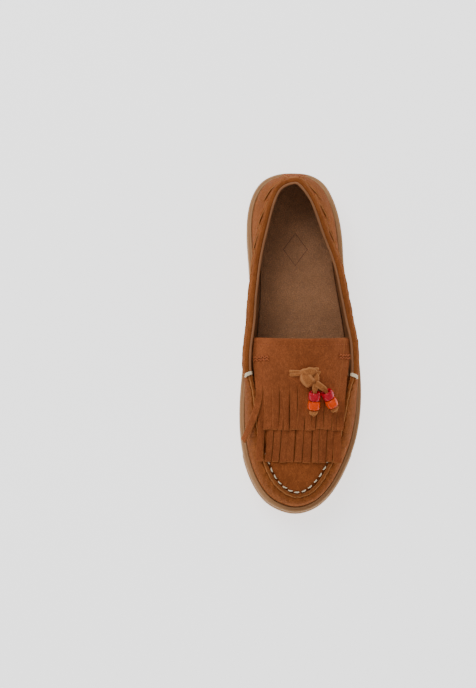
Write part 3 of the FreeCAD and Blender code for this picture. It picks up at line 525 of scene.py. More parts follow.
def rubber(name, base):
    m, nt, b = new_mat(name)
    co = coords(nt)
    base = np.array(base)
    big = tex_noise(nt, co, 28.0, 4.0, 0.55)
    mid = tex_noise(nt, co, 420.0, 4.0, 0.65)
    fine = tex_noise(nt, co, 3600.0, 2.0, 0.7)
    c = mixc(nt, remap(nt, big, 0.3, 0.7), base * 0.93, base * 1.05)
    c = mixc(nt, remap(nt, mid, 0.45, 0.75, 0.0, 0.3), c, base * 0.85)
    # painted shade: the point attribute darkens the rubber in the grooves, the tread cuts, the gap inside the rim and
    # along the ground edge
    at = N(nt, "ShaderNodeAttribute")
    at.attribute_name = "painted_shade"
    c = mixc(nt, math_node(nt, "MULTIPLY", at.outputs["Fac"], remap(nt, mid, 0.2, 0.7, 0.55, 1.0)), c, base * np.array([0.62, 0.56, 0.5]))
    nt.links.new(c, b.inputs["Base Color"])
    nt.links.new(remap(nt, mid, 0.3, 0.7, 0.5, 0.66), b.inputs["Roughness"])
    b.inputs["Specular IOR Level"].default_value = 0.4
    nrm = bump(nt, b, fine, 0.35, 0.00012)
    bump(nt, b, mid, 0.2, 0.0003, nrm)
    return m


def thread(name, base, turns=1500.0):
    m, nt, b = new_mat(name)
    co = coords(nt)
    base = np.array(base)
    wv = N(nt, "ShaderNodeTexWave")
    wv.wave_type = "BANDS"
    wv.bands_direction = "DIAGONAL"
    wv.inputs["Scale"].default_value = turns
    wv.inputs["Distortion"].default_value = 2.0
    nt.links.new(co, wv.inputs["Vector"])
    fuzz = tex_noise(nt, co, 3000.0, 3.0, 0.7)
    c = mixc(nt, remap(nt, wv.outputs["Fac"], 0.1, 0.6, 0.45, 0.0), base, base * 0.62)
    c = mixc(nt, remap(nt, fuzz, 0.45, 0.75, 0.0, 0.35), c, base * 1.12)
    nt.links.new(c, b.inputs["Base Color"])
    nt.links.new(remap(nt, fuzz, 0.3, 0.7, 0.6, 0.85), b.inputs["Roughness"])
    b.inputs["Specular IOR Level"].default_value = 0.25
    bump(nt, b, wv.outputs["Fac"], 0.6, 0.0002)
    return m


def glass(name, base, trans=0.72, swirl=0.25):
    m, nt, b = new_mat(name)
    co = coords(nt)
    base = np.array(base)
    ns = tex_noise(nt, co, 260.0, 3.0, 0.6)
    c = mixc(nt, remap(nt, ns, 0.35, 0.7), base * 0.85, np.clip(base * 1.15 + swirl * 0.25, 0, 1))
    nt.links.new(c, b.inputs["Base Color"])
    nt.links.new(remap(nt, ns, 0.3, 0.7, 0.03, 0.09), b.inputs["Roughness"])
    b.inputs["Transmission Weight"].default_value = trans
    b.inputs["IOR"].default_value = 1.34
    b.inputs["Specular IOR Level"].default_value = 0.22
    b.inputs["Coat Weight"].default_value = 0.12
    b.inputs["Coat Roughness"].default_value = 0.03
    bump(nt, b, ns, 0.08, 0.0003)
    return m


def plain_stuff(name, base, scale, rough=0.9, deep=0.0004, metal=0.0):
    m, nt, b = new_mat(name)
    co = coords(nt)
    base = np.array(base)
    a = tex_noise(nt, co, scale, 4.0, 0.65)
    k = tex_noise(nt, co, scale * 6, 2.0, 0.7)
    c = mixc(nt, remap(nt, a, 0.3, 0.7), base * 0.85, base * 1.1)
    c = mixc(nt, remap(nt, k, 0.5, 0.8, 0.0, 0.5), c, base * 0.7)
    nt.links.new(c, b.inputs["Base Color"])
    nt.links.new(remap(nt, a, 0.3, 0.7, max(rough - 0.1, 0), min(rough + 0.05, 1)), b.inputs["Roughness"])
    b.inputs["Metallic"].default_value = metal
    bump(nt, b, k, 0.4, deep)
    return m


SUEDE = (0.280, 0.0765, 0.0215)
M = {
    "suede": suede("suede_cognac", SUEDE, raw=(0.40, 0.16, 0.055)),
    # a darker copy of the cognac suede for the vamp and quarter walls: painted shade on the sides
    "side": suede("suede_sides_painted_shade", (0.248, 0.072, 0.0180), raw=(0.40, 0.16, 0.055)),
    "kiltie": suede("suede_kiltie", (0.280, 0.0775, 0.0245), raw=(0.36, 0.125, 0.038), fibre=(1.0, 0.55, 1.0)),
    "thong": suede("suede_thong", (0.42, 0.148, 0.045), raw=(0.47, 0.19, 0.068), sheen=0.0, dark=0.5),
    "lace": suede("suede_lace", (0.262, 0.075, 0.0180), raw=(0.46, 0.20, 0.075)),
    "binding": leather("binding_leather", (0.30, 0.120, 0.045), pebble=2600.0, rough=0.65, deep=0.0001),
    "sock": leather("sock_leather", (0.385, 0.175, 0.077), pebble=800.0, rough=0.46, deep=0.0006, light=1.3, dark=0.5),
    # dark leather for the lozenge ribbon on the sock: painted shade of a pressed line
    "lozenge_shade": leather("sock_lozenge_painted_shade", (0.155, 0.062, 0.025), pebble=800.0, rough=0.6, deep=0.0002, light=1.2, dark=0.6),
    "lining": leather("lining_leather", (0.325, 0.138, 0.050), pebble=2100.0, rough=0.6, deep=0.00012),
    "rubber": rubber("rubber_sole", (0.470, 0.250, 0.108)),
    "cream": thread("thread_cream", (0.97, 0.82, 0.56)),
    "brown": thread("thread_brown", (0.44, 0.115, 0.033)),
    "red": glass("glass_red", (0.66, 0.010, 0.030), trans=0.30, swirl=0.0),
    "orange": glass("glass_orange", (0.90, 0.070, 0.0), trans=0.15, swirl=0.0),
    "foam": plain_stuff("foam", (0.72, 0.62, 0.45), 900.0),
    "board": plain_stuff("board", (0.45, 0.32, 0.19), 300.0),
    "filler": plain_stuff("filler", (0.66, 0.57, 0.42), 500.0, 0.8),
    "steel": plain_stuff("steel", (0.55, 0.55, 0.57), 200.0, 0.35, 0.00005, 1.0),
    "felt": plain_stuff("felt", (0.60, 0.50, 0.36), 700.0),
}


# ------------------------------------------------------------------ cup sole
def build_outsole():
    nu = 720
    u = np.arange(nu) / nu * NS
    rim_p, _ = sole_point(u, 0.0)
    y = rim_p[:, 1]
    zr, zg = rim_z(y), ground_z(y)
    toe_band = smooth(-86, -90, y)
    heel_band = smooth(111, 114, y)
    proud = 0.75 * np.maximum(toe_band, heel_band)
    h = zr - zg
    rows = []          # (inset, z, painted shade)
    # the cup's inner rows get painted shade, darker further down into the gap behind the upper
    rows.append((4.4, zr - 4.0, 0.6))
    rows.append((4.3, zr - 1.0, 0.5))
    rows.append((4.1, zr - 0.35, 0.35))
    rows.append((3.6, zr - 0.05, 0.1))
    rows.append((3.0, zr, 0.0))
    rows.append((2.5, zr - 0.10, 0.1))
    rows.append((2.25, zr - 0.22, 0.22))
    rows.append((2.0, zr - 0.06, 0.05))
    rows.append((1.3, zr + 0.0, 0.0))
    rows.append((0.6, zr - 0.25, 0.0))
    rows.append((0.2, zr - 0.8, 0.0))
    rows.append((0.05, zr - 1.6, 0.0))
    side = []
    # side from the rim down, as shares of the height: a fine groove under the rim, a bumper field, a foxing line
    for k in np.linspace(0.08, 0.955, 46):
        side.append(k)
    for k in side:
        z = zr - h * k
        ins = 0.05 + 0.35 * np.sin(math.pi * k) ** 2 * 0.6
        groove = 0.45 * np.exp(-((k - 0.20) / 0.014) ** 2) + 0.35 * np.exp(-((k - 0.80) / 0.014) ** 2)
        field = smooth(0.27, 0.30, k) * smooth(0.73, 0.70, k)
        rib = 0.28 * (0.5 + 0.5 * np.cos(k * 2 * math.pi * 15)) * field
        ins_all = ins + groove - proud * field + rib * np.maximum(toe_band, heel_band)
        # painted shade in the fine grooves under the rim and above the foxing line, and darker along the bottom edge
        rows.append((ins_all, z, float(min(1, groove * 1.6)) + 0.25 * (k > 0.93)))
    # rows round the ground edge, carrying painted shade
    rows.append((0.35, zg + h * 0.028, 0.5))
    rows.append((0.9, zg + 0.25, 0.6))
    rows.append((1.8, zg, 0.5))
    rows.append((3.2, zg, 0.4))
    pts, shade_by_row = [], []
    for ins, z, g in rows:
        p, _ = sole_point(u, np.broadcast_to(np.asarray(ins, float), u.shape))
        pts.append(np.stack([p[:, 0], p[:, 1], np.broadcast_to(z, u.shape)], -1))
        shade_by_row.append(np.full(nu, g))
    edge = pts[-1]
    spine = np.stack([-0.4 - 3.4 * smooth(10, 70, edge[:, 1]), np.clip(edge[:, 1], -96, 100)], -1)
    for k in np.concatenate([np.linspace(0.03, 0.14, 8), np.linspace(0.155, 1.0, 76)]):
        xy = edge[:, :2] * (1 - k) + spine * k
        dist = np.linalg.norm(xy - edge[:, :2], axis=1)
        # zigzag grooves across, inside a plain border
        yy = xy[:, 1] + 2.6 * np.abs(((xy[:, 0] / 8.0) % 2) - 1)
        ph = np.abs(((yy / 9.0) % 1) - 0.5) * 9.0
        cut = smooth(1.9, 1.0, ph) * smooth(6.0, 7.2, dist)
        arch = smooth(16, 19, xy[:, 1]) * smooth(46, 43, xy[:, 1])
        cut = cut * (1 - arch)
        line = smooth(0.9, 0.4, np.abs(dist - 5.2))
        pts.append(np.stack([xy[:, 0], xy[:, 1], ground_z(xy[:, 1]) + 1.3 * cut + 0.5 * line], -1))
        # painted shade in the tread cuts and along the border line
        shade_by_row.append(0.25 + 0.5 * np.maximum(cut, line))
    # inside of the cup
    inner = [pts[0]]
    p = pts[0]
    floor = np.stack([p[:, 0], p[:, 1], np.maximum(ground_z(p[:, 1]) + 5.0, 6.4)], -1)
    sp2 = np.stack([-0.4 - 3.4 * smooth(10, 70, p[:, 1]), np.clip(p[:, 1], -96, 100)], -1)
    top_rows = [floor]
    for k in np.linspace(0.1, 1.0, 8):
        xy = floor[:, :2] * (1 - k) + sp2 * k
        top_rows.append(np.stack([xy[:, 0], xy[:, 1], np.maximum(ground_z(xy[:, 1]) + 5.0, 6.4)], -1))
    allrows = top_rows[::-1] + pts
    painted_shade = [np.full(nu, 0.3)] * len(top_rows) + shade_by_row
    P = np.stack(allrows, 0)
    G = np.stack(painted_shade, 0)
    v = P.reshape(-1, 3)
    f = quads(P.shape[0], nu, wrap_m=True)
    ob = add_mesh("cup_sole", v, f, M["rubber"], "root", ("outsole",), merge=0.02, attrs={"painted_shade": G.reshape(-1)})
    return ob


sole = build_outsole()
sole.data.set_sharp_from_angle(angle=math.radians(48))


# ------------------------------------------------------------------ suede sides
def side_rows():
    """Rows of (v, depth) for the outer and inner faces, rolled over at the top."""
    v = np.concatenate([[-0.6, -0.3, -0.05], np.linspace(0.0, 0.55, 26), np.linspace(0.557, 0.97, 84)])
    thick = LEATHER + 0.9 * smooth(0.90, 0.97, v)
    outer = [(a, 0.0) for a in v] + [(0.982, 0.06), (0.992, 0.24), (0.998, 0.55), (1.0, 0.95)]
    inner = [(a, b) for a, b in zip(v, thick)] + [(0.982, 2.25), (0.992, 2.1), (0.998, 1.8), (1.0, 1.4)]
    return outer, inner


def wall_speed(u):
    """Millimetres of wall height for a unit of v, near the top edge."""
    one = np.ones_like(u)
    return np.linalg.norm(wall_point(u, one) - wall_point(u, one * 0.8), axis=-1) / 0.2


U_LAT = np.linspace(0.0, LAT, 1200)
U_MED = np.linspace(NS, MED, 1200)
S_LAT = np.concatenate([[0], np.cumsum(np.linalg.norm(np.diff(wall_point(np.mod(U_LAT, NS), np.full(1200, 0.85)), axis=0), axis=1))])
S_MED = np.concatenate([[0], np.cumsum(np.linalg.norm(np.diff(wall_point(np.mod(U_MED, NS), np.full(1200, 0.85)), axis=0), axis=1))])
# slits that the lace is threaded through: where each starts, along the collar from the heel, in mm
SLITS_LAT = [11.5, 29.0, 48.5, 68.5, 88.5, 108.5, 128.5, 147.0]
SLITS_MED = [14.0, 35.0, 54.0, 74.0, 94.0, 114.0, 134.0, 150.0]
SLIT_LONG, SLIT_E0, SLIT_RISE = 12.5, 6.4, 0.46


def slit_depth(us, v):
    """Cut of the slits into the collar."""
    us = np.mod(us, NS)
    lat = us < LAT + 1
    s = np.where(lat, np.interp(us, U_LAT, S_LAT), np.interp(-us, -U_MED, S_MED))
    e = (1 - v) * wall_speed(us)
    out = np.zeros_like(s)
    for lat_side, starts in ((True, SLITS_LAT), (False, SLITS_MED)):
        for s0 in starts:
            ds = s - s0
            line = SLIT_E0 + SLIT_RISE * ds
            d = (e - line) / math.sqrt(1 + SLIT_RISE ** 2)
            ends = smooth(-0.6, 1.0, ds) * smooth(SLIT_LONG + 0.6, SLIT_LONG - 1.0, ds)
            out = np.maximum(out, np.exp(-(d / 0.68) ** 4) * ends * (lat == lat_side))
    return out


def suede_side(name, u0, u1, n, node, relief):
    us = np.linspace(u0, u1, n)
    outer, inner = side_rows()
    O, I = [], []
    for v, d in outer:
        vv = np.full(n, v)
        O.append(wall(us, vv, np.full(n, d) - relief(us, vv) + (2.6 * slit_depth(us, vv) if v > 0.5 else 0.0)))
    for v, d in inner:
        I.append(wall(us, np.full(n, v), np.full(n, d) - relief(us, np.full(n, v)) * 0.3))
    O, I = np.stack(O, 1), np.stack(I, 1)
    v_, f_ = shell(O, I)
    raw = np.zeros(len(v_))
    return add_mesh(name, v_, f_, M["side"], "root", node, attrs={"raw": raw})


def quarter_relief(us, v):
    p = wall_point(us, v)
    e = (1 - v) * wall_speed(np.mod(us, NS))
    roll = 1.0 * smooth(0.0, 2.2, e) * smooth(8.5, 5.5, e)
    r = roll + 0.35 * noise(p, 26, 3) * smooth(0.02, 0.2, v) + 0.14 * noise(p, 7, 4) + 0.08 * noise(p, 3.0, 14)
    return r + 0.35 * np.exp(-np.minimum(v, 1) ** 2 / 0.002) * (v > 0)


quarter_lat = suede_side("quarter_outer_side", 0.0, LAT + 0.05, 560, ("quarter_lateral",), quarter_relief)
quarter_med = suede_side("quarter_inner_side", MED - 0.05, NS - 0.0, 560, ("quarter_medial",), quarter_relief)

# stitch positions round the apron, by arc length
t_fine = np.linspace(LAT + 0.0, MED, 1600)
u_fine = t_fine
ridge = top_point(u_fine)
ridge_n = sole_point(u_fine)[1]
ridge_t = norm(np.gradient(ridge[:, :2], axis=0))
ridge_in = np.stack([ridge_t[:, 1], -ridge_t[:, 0]], -1)
ridge_in *= np.sign(np.sum(ridge_in * -ridge_n, 1))[:, None]
arc = np.concatenate([[0], np.cumsum(np.linalg.norm(np.diff(ridge, axis=0), axis=1))])
toe_arc = np.interp(np.argmin(ridge[:, 1]), np.arange(len(arc)), arc)
PITCH = 6.15


def arc_at(u):
    return np.interp(u, u_fine, arc)


def pucker(u):
    """-1..1 wave with its crest between two stitches."""
    return np.cos((arc_at(u) - toe_arc) / PITCH * 2 * math.pi + math.pi) * (0.75 + 0.25 * noise(np.stack([arc_at(u), 0 * u, 0 * u], -1), 9, 18))


def vamp_relief(us, v):
    p = wall_point(us, v)
    pk = pucker(us)
    amp = 0.55 * smooth(0.55, 1.0, v)
    r = amp * pk + 0.30 * noise(p, 30, 5) * smooth(0.02, 0.2, v) + 0.10 * noise(p, 6, 6)
    r = r + 0.25 * smooth(0.72, 0.9, v) * noise(p * np.array([1, 1, 0.4]), 5, 8)
    r = r + 0.35 * np.exp(-np.minimum(v, 1) ** 2 / 0.002) * (v > 0)
    return r


def build_vamp():
    n = 900
    us = np.linspace(LAT + 0.02, MED - 0.02, n)
    vs = np.concatenate([[-0.6, -0.3, -0.05], np.linspace(0.0, 0.985, 46)])
    rows = [wall(us, np.full(n, v), -vamp_relief(us, np.full(n, v))) for v in vs]
    raw = [np.zeros(n) for _ in vs]
    r = top_point(us)
    inx = np.stack([np.interp(us, u_fine, ridge_in[:, 0]), np.interp(us, u_fine, ridge_in[:, 1])], -1)
    pk = pucker(us)
    jit = 0.22 * noise(r, 3.2, 9) + 0.12 * noise(r, 1.5, 12)
    ends = smooth(0, 5, arc_at(us)) * smooth(0, 5, arc[-1] - arc_at(us))
    lip = [(0.02, -0.45, 0.3, 0.0), (0.40, -0.75, 0.4, 0.0), (0.60, -0.35, 0.6, 0.5), (0.75, 0.35, 0.8, 1.0), (1.00, 0.85, 0.9, 0.9), (1.5, 1.15, 1.0, 0.2), (2.1, 1.25, 1.0, 0.0),
           (2.7, 1.10, 0.9, 0.0), (3.15, 0.75, 0.8, 0.45), (3.4, 0.25, 0.6, 0.7), (3.55, -0.5, 0.4, 0.3), (3.7, -1.5, 0.2, 0.0), (3.8, -2.6, 0.0, 0.0)]
    for ins, dz, k, rw in lip:
        q = r.copy()
        off = ins - (0.28 * pk * k * (ins < 2.0)) + 0.18 * pk * k * (ins > 2.5) + jit * k * 0.6
        q[:, :2] += inx * (off * 1.0)[:, None]
        q[:, 2] += dz * ends - (1 - ends) * 0.6 * (dz > 0) + 0.42 * pk * k * ends + jit * k
        rows.append(q)
        raw.append(np.full(n, rw))
    O = np.stack(rows, 1)
    m = O.shape[1]
    # inner face: a simple offset of the outer
    back = []
    for v in vs:
        back.append(wall(us, np.full(n, v), np.full(n, LEATHER)))
    for (ins, dz, k, rw) in lip:
        q = r.copy()
        q[:, :2] += inx * min(max(ins, 1.3), 3.3)
        q[:, 2] += np.minimum(dz, 0.2) - 1.3 - (2.2 if ins > 3.9 else 0)
        back.append(q)
    I = np.stack(back, 1)
    v_, f_ = shell(O, I)
    R = np.stack(raw, 1)
    rr = np.concatenate([R.reshape(-1), np.zeros(n * m)])
    return add_mesh("vamp_wall", v_, f_, M["side"], "root", ("vamp",), attrs={"raw": rr})


vamp = build_vamp()


# backstay
def build_backstay():
    n, m = 60, 90
    uu = np.linspace(-1.3, 1.3, n)
    vv = np.linspace(0.015, 0.90, m)
    U, V = np.meshgrid(uu, vv, indexing="ij")
    edge = np.minimum(smooth(-1.3, -1.1, U), smooth(1.3, 1.1, U))
    U = U * (0.62 + 0.38 * np.cos((V - 0.1) * 1.5))
    edge = edge * smooth(0.90, 0.80, V)
    P = wall(np.mod(U, NS), V, -(quarter_relief(np.mod(U, NS), V) + 0.05 + 1.0 * edge + 0.08 * noise(wall_point(np.mod(U, NS), V), 8, 2)))
    Q = wall(np.mod(U, NS), V, -(quarter_relief(np.mod(U, NS), V) + 0.02))
    v_, f_ = shell(P, Q)
    raw = np.concatenate([(1 - edge).reshape(-1), np.zeros(n * m)])
    ob = add_mesh("backstay_strip", v_, f_, M["suede"], "root", ("backstay",), attrs={"raw": raw})
    st = []
    for sgn in (-1, 1):
        vline = np.linspace(0.05, 0.78, 400)
        uline = sgn * 1.05 * (0.62 + 0.38 * np.cos((vline - 0.1) * 1.5))
        line = wall(np.mod(uline, NS), vline, -(quarter_relief(np.mod(uline, NS), vline) + 1.0))
        nl = wall_normal(np.mod(uline, NS), vline)
        st += stitch_row(line, nl, 2.6, 1.7, 0.26)
    v2, f2 = join(st)
    add_mesh("backstay_stitching", v2, f2, M["brown"], "root")
    return ob


def stitch_row(line, normals, pitch, length, r):
    d = np.concatenate([[0], np.cumsum(np.linalg.norm(np.diff(line, axis=0), axis=1))])
    out = []
    k = int(d[-1] / pitch)
    for i in range(k):
        a = (i + 0.5) * pitch - length / 2
        b = a + length
        pa = np.array([np.interp(a, d, line[:, c]) for c in range(3)])
        pb = np.array([np.interp(b, d, line[:, c]) for c in range(3)])
        na = norm(np.array([np.interp(a, d, normals[:, c]) for c in range(3)]))
        nb = norm(np.array([np.interp(b, d, normals[:, c]) for c in range(3)]))
        out.append(stitch(pa, pb, na, nb, r))
    return out


build_backstay()


# collar binding, rolled over the top edge, from saddle to saddle round the heel
def build_binding():
    n = 900
    us = np.linspace(-(NS - MED) + 0.1, LAT - 0.1, n)
    um = np.mod(us, NS)
    top = top_point(um)
    mid = wall(um, np.full(n, 1.0), np.full(n, 2.75))
    path = np.stack([mid[:, 0], mid[:, 1], top[:, 2] - 0.55], -1)
    up = np.tile([0, 0, 1.0], (n, 1))
    wob = 1 + 0.05 * noise(path, 4, 21) + 0.04 * noise(path, 11, 22)
    prof = band(1.9, 2.1, 5, 0.85)
    v, f = sweep(path, up, prof, np.stack([wob, wob], 1))
    return add_mesh("collar_edge_binding", v, f, M["binding"], "root", ("collar_binding",))


build_binding()


# the lace: each visible length comes out under the roll, lies beside its slit and dives at the far end
def build_lace(name, uu, ss_tab, starts, node):
    parts, raws = [], []
    n = 60
    for k, s0 in enumerate(starts):
        s = np.linspace(s0 - 8.0, min(s0 + SLIT_LONG + 1.5, ss_tab[-1] - 2.0), n)
        if s[-1] - s[0] < 14:
            continue
        s = np.maximum(s, 1.0)
        t = np.linspace(0, 1, n)
        u = np.mod(np.interp(s, ss_tab, uu), NS)
        e = SLIT_E0 + SLIT_RISE * (s - s0) + 2.75
        e = np.maximum(e, 4.6)
        v = 1 - e / wall_speed(u)
        p0 = wall_point(u, v)
        hgt = quarter_relief(u, v) + 0.62 * np.sin(math.pi * np.clip(t * 1.02, 0, 1)) ** 0.5 + 0.12 * noise(p0, 3.5, 60 + k) - 1.9 * smooth(0.07, 0.0, t) - 2.2 * smooth(0.94, 1.0, t)
        P = wall(u, v, -hgt)
        nn = wall_normal(u, v)
        w = 4.1 * (0.62 + 0.38 * np.minimum(smooth(0, 0.22, t), smooth(1.0, 0.86, t)))
        prof = band(1.0, 1.0, 4, 0.42)
        vv, f = sweep(P, nn, prof, np.stack([w * (1 + 0.04 * noise(p0, 3, 90 + k)), np.full(n, 1.35)], 1))
        parts.append((vv, f))
        raws.append(np.tile((np.abs(prof[:, 0]) > 0.42).astype(float), n))
    v, f = join(parts)
    return add_mesh(name, v, f, M["lace"], "root", node, attrs={"raw": np.concatenate(raws)})


build_lace("collar_lace_outer_side", U_LAT, S_LAT, SLITS_LAT, ("collar_lace_lateral",))
build_lace("collar_lace_inner_side", U_MED, S_MED, SLITS_MED, ("collar_lace_medial",))


# linings, seen in the foot opening
def build_lining():
    n = 420
    us = np.linspace(-(NS - MED) + 0.02, LAT - 0.02, n)
    um = np.mod(us, NS)
    vs = np.concatenate([[-0.85, -0.5, -0.2], np.linspace(0, 0.985, 40)])
    O = np.stack([wall(um, np.full(n, v), 2.75 + 0.2 * noise(wall_point(um, np.full(n, v)), 18, 41)) for v in vs], 1)
    I = np.stack([wall(um, np.full(n, v), INSIDE + 0.25 * noise(wall_point(um, np.full(n, v)), 14, 42) * smooth(-0.8, 0.1, v) * smooth(1, .8, v)
                       + 0.5 * smooth(0.62, 0.74, v) * smooth(1.0, 0.92, v)) for v in vs], 1)
    v_, f_ = shell(O, I)
    add_mesh("quarter_lining_leather", v_, f_, M["lining"], "root", ("quarter_lining",))
    us = np.linspace(LAT + 0.02, MED - 0.02, n)
    vs = np.concatenate([[-0.85, -0.5, -0.2], np.linspace(0, 0.70, 20)])
    O = np.stack([wall(us, np.full(n, v), np.full(n, 2.7)) for v in vs], 1)
    I = np.stack([wall(us, np.full(n, v), np.full(n, INSIDE)) for v in vs], 1)
    v_, f_ = shell(O, I)
    add_mesh("vamp_lining_leather", v_, f_, M["lining"], "root", ("vamp_lining",))


build_lining()


# ------------------------------------------------------------------ footbed
def build_sock():
    inset = RIM + CUP + INSIDE + 0.35
    u = np.linspace(0, NS, 4001)
    e, _ = sole_point(u, np.full(4001, inset))
    y_lo, y_hi = e[:, 1].min() + 0.05, e[:, 1].max() - 0.05
    lo_i, hi_i = e[:, 1].argmin(), e[:, 1].argmax()
    side_a = e[hi_i:lo_i + 1] if hi_i < lo_i else e[lo_i:hi_i + 1]
    roll = np.roll(e[:-1], -hi_i, 0)
    cut = roll[:, 1].argmin()
    ra, rb = roll[:cut + 1], np.concatenate([roll[cut:], roll[:1]])
    if ra[:, 0].mean() < rb[:, 0].mean():
        ra, rb = rb, ra

    def edge_x(side, y):
        o = np.argsort(side[:, 1])
        return np.interp(y, side[o, 1], side[o, 0])
    n, m = 520, 170
    a = np.linspace(0, math.pi, n)
    lin = np.linspace(y_lo, y_hi, n)
    ys = 0.82 * lin + 0.18 * ((y_lo + y_hi) / 2 - np.cos(a) * (y_hi - y_lo) / 2)
    w = np.linspace(-1, 1, m)
    w = np.sign(w) * (1 - (1 - np.abs(w)) ** 1.12)
    Y, W = np.meshgrid(ys, w, indexing="ij")
    xr, xl = edge_x(ra, ys), edge_x(rb, ys)
    X = (xl + xr)[:, None] / 2 + W * ((xr - xl) / 2)[:, None]
    near = np.minimum(np.abs(X - xl[:, None]), np.abs(xr[:, None] - X))
    near = np.minimum(near, np.minimum(Y - y_lo + 0.5, y_hi - Y + 0.5) * 1.5)
    zt = 6.6
    Z = mid_z(Y) + zt + 1.7 * np.exp(-near / 5.5) * smooth(-130, 40, Y) - 0.9 * np.exp(-(((X + 4) / 15) ** 2 + ((Y - 88) / 22) ** 2))
    P3 = np.stack([X, Y, Z], -1)
    Z = Z + 0.22 * noise(P3, 15, 51) + 0.11 * noise(P3, 4.5, 52) + 0.06 * noise(P3, 1.9, 53)
    Z = Z - 0.9 * smooth(0.5, 0.0, near)
    top = np.stack([X, Y, Z], -1)
    bot = np.stack([X, Y, mid_z(Y) + zt - 1.05], -1)
    v, f = shell(top, bot)
    add_mesh("sock_leather", v, f, M["sock"], "root", ("sock_cover",), merge=0.01)
    # a plain lozenge outline on the heel: a dark flat ribbon laid just above the sock, darker than the leather round
    # it, painted shade standing in for a pressed line
    bev, bef = [], []
    cs = [(-3.6, 74.0 + 13.0), (-3.6 + 9.5, 74.0), (-3.6, 74.0 - 13.0), (-3.6 - 9.5, 74.0)]
    ring = []
    for k in range(4):
        for t in np.linspace(0, 1, 60, endpoint=False):
            ring.append([cs[k][0] + (cs[(k + 1) % 4][0] - cs[k][0]) * t, cs[k][1] + (cs[(k + 1) % 4][1] - cs[k][1]) * t])
    ring = np.array(ring)
    tops = []
    for scale in (-0.30, 0.30):
        q = ring.copy()
        q[:, 0] = -3.6 + (q[:, 0] + 3.6) * (1 + scale / 9.5)
        q[:, 1] = 74.0 + (q[:, 1] - 74.0) * (1 + scale / 13.0)
        iy = np.clip(np.searchsorted(ys, q[:, 1]), 1, n - 1)
        z = np.empty(len(q))
        for c in range(len(q)):
            r0, r1 = iy[c] - 1, iy[c]
            f1 = (q[c, 1] - ys[r0]) / (ys[r1] - ys[r0])
            z[c] = (1 - f1) * np.interp(q[c, 0], X[r0], Z[r0]) + f1 * np.interp(q[c, 0], X[r1], Z[r1])
        tops.append(np.stack([q[:, 0], q[:, 1], z + 0.05], -1))
    vv2 = np.concatenate([tops[0], tops[1]])
    nr = len(ring)
    ff2 = [(c, (c + 1) % nr, nr + (c + 1) % nr, nr + c) for c in range(nr)]
    return add_mesh("sock_lozenge_line_painted_shade", vv2, ff2, M["lozenge_shade"], "root", ("sock_cover",))


build_sock()


# the rear edges of the tongue and kiltie run forward in the middle
def swept(x, y):
    w = np.clip(np.abs(x) / 36.0, 0, 1)
    return y - 4.6 * (1 - w * w) * smooth(-26, -1.5, y)


# ------------------------------------------------------------------ apron with its tongue
def build_apron():
    un = np.linspace(LAT - 0.0, MED + 0.0, 700)
    r = top_point(un)
    inx = np.stack([np.interp(un, u_fine, ridge_in[:, 0]), np.interp(un, u_fine, ridge_in[:, 1])], -1)
    b = r[:, :2] + inx * 2.9
    # carry the boundary back beside the tongue
    back_y = np.linspace(-1.0, b[0, 1] + 0.5, 60)[:-1]
    hw = ap_half(back_y)
    right = np.stack([ap_cx(back_y) + hw * 0.985, back_y], -1)
    left = np.stack([ap_cx(back_y) - hw * 0.985, back_y], -1)
    lim = 36.0
    b[:, 0] = np.clip(b[:, 0], ap_cx(b[:, 1]) - ap_half(b[:, 1]) * 1.04, ap_cx(b[:, 1]) + ap_half(b[:, 1]) * 1.04)
    edge = np.concatenate([right, b, left[::-1]])
    on_seam = np.concatenate([np.zeros(len(right)), np.ones(len(b)), np.zeros(len(left))])
    ss = np.concatenate([np.full(len(right), 0), arc_at(un), np.full(len(left), arc[-1])])
    n = len(edge)
    sp = np.stack([ap_cx(edge[:, 1]), np.maximum(edge[:, 1], -103.0)], -1)
    ks = np.concatenate([np.linspace(0, 0.3, 34), np.linspace(0.32, 1, 34)])
    top, low = [], []
    for k in ks:
        xy = edge * (1 - k) + sp * k
        dist = np.linalg.norm(xy - edge, axis=1)
        p, nn = apron_at(xy[:, 0], swept(xy[:, 0], xy[:, 1] - 0.8), np.zeros(n))
        g = np.exp(-((dist - 1.7) / 1.2) ** 2)
        pk = np.cos((ss - toe_arc) / PITCH * 2 * math.pi)
        h = on_seam * (-1.15 * g * (0.8 + 0.2 * pk) - 0.5 * (dist < 1.2))
        h = h + on_seam * (-0.28) * pk * np.exp(-dist / 4.0) + 0.22 * noise(p, 24, 61) + 0.07 * noise(p, 6, 62)
        h = h + 0.35 * np.exp(-((dist - 5.2) / 1.8) ** 2) * on_seam
        top.append(p + nn * h[:, None])
        low.append(p - nn * LEATHER)
    T, L = np.stack(top, 0), np.stack(low, 0)
    v_, f_ = shell(T, L)
    raw = np.zeros(len(v_))
    return add_mesh("apron_and_tongue", v_, f_, M["suede"], "root", ("apron",), merge=0.01, attrs={"raw": raw})


build_apron()


def build_apron_lining():
    ys = np.concatenate([np.linspace(-113, -100, 14), np.linspace(-98, -1, 50)])
    ws = np.linspace(-0.9, 0.9, 41)
    Y, W = np.meshgrid(ys, ws, indexing="ij")
    X = ap_cx(Y) + W * ap_half(Y)
    Y = swept(X, Y - 0.8)
    a, _ = apron_at(X, Y, np.full(X.shape, -LEATHER - 0.15))
    b, _ = apron_at(X, Y, -LEATHER - 1.15 + 0.1 * noise(a, 15, 71))
    v_, f_ = shell(a, b)
    add_mesh("tongue_lining_leather", v_, f_, M["lining"], "root", ("apron_lining",))


build_apron_lining()


SEWN = [(-28.3, -92), (-26.4, -97.8), (-24.2, -104.1), (-21.7, -109.7), (-18.2, -114.6), (-13.9, -118.1), (-9, -120.2), (-3.7, -120.7),
        (1.7, -119.5), (6.4, -116.4), (10.6, -112), (14.4, -107.3), (17.6, -102), (20.2, -96.6)]


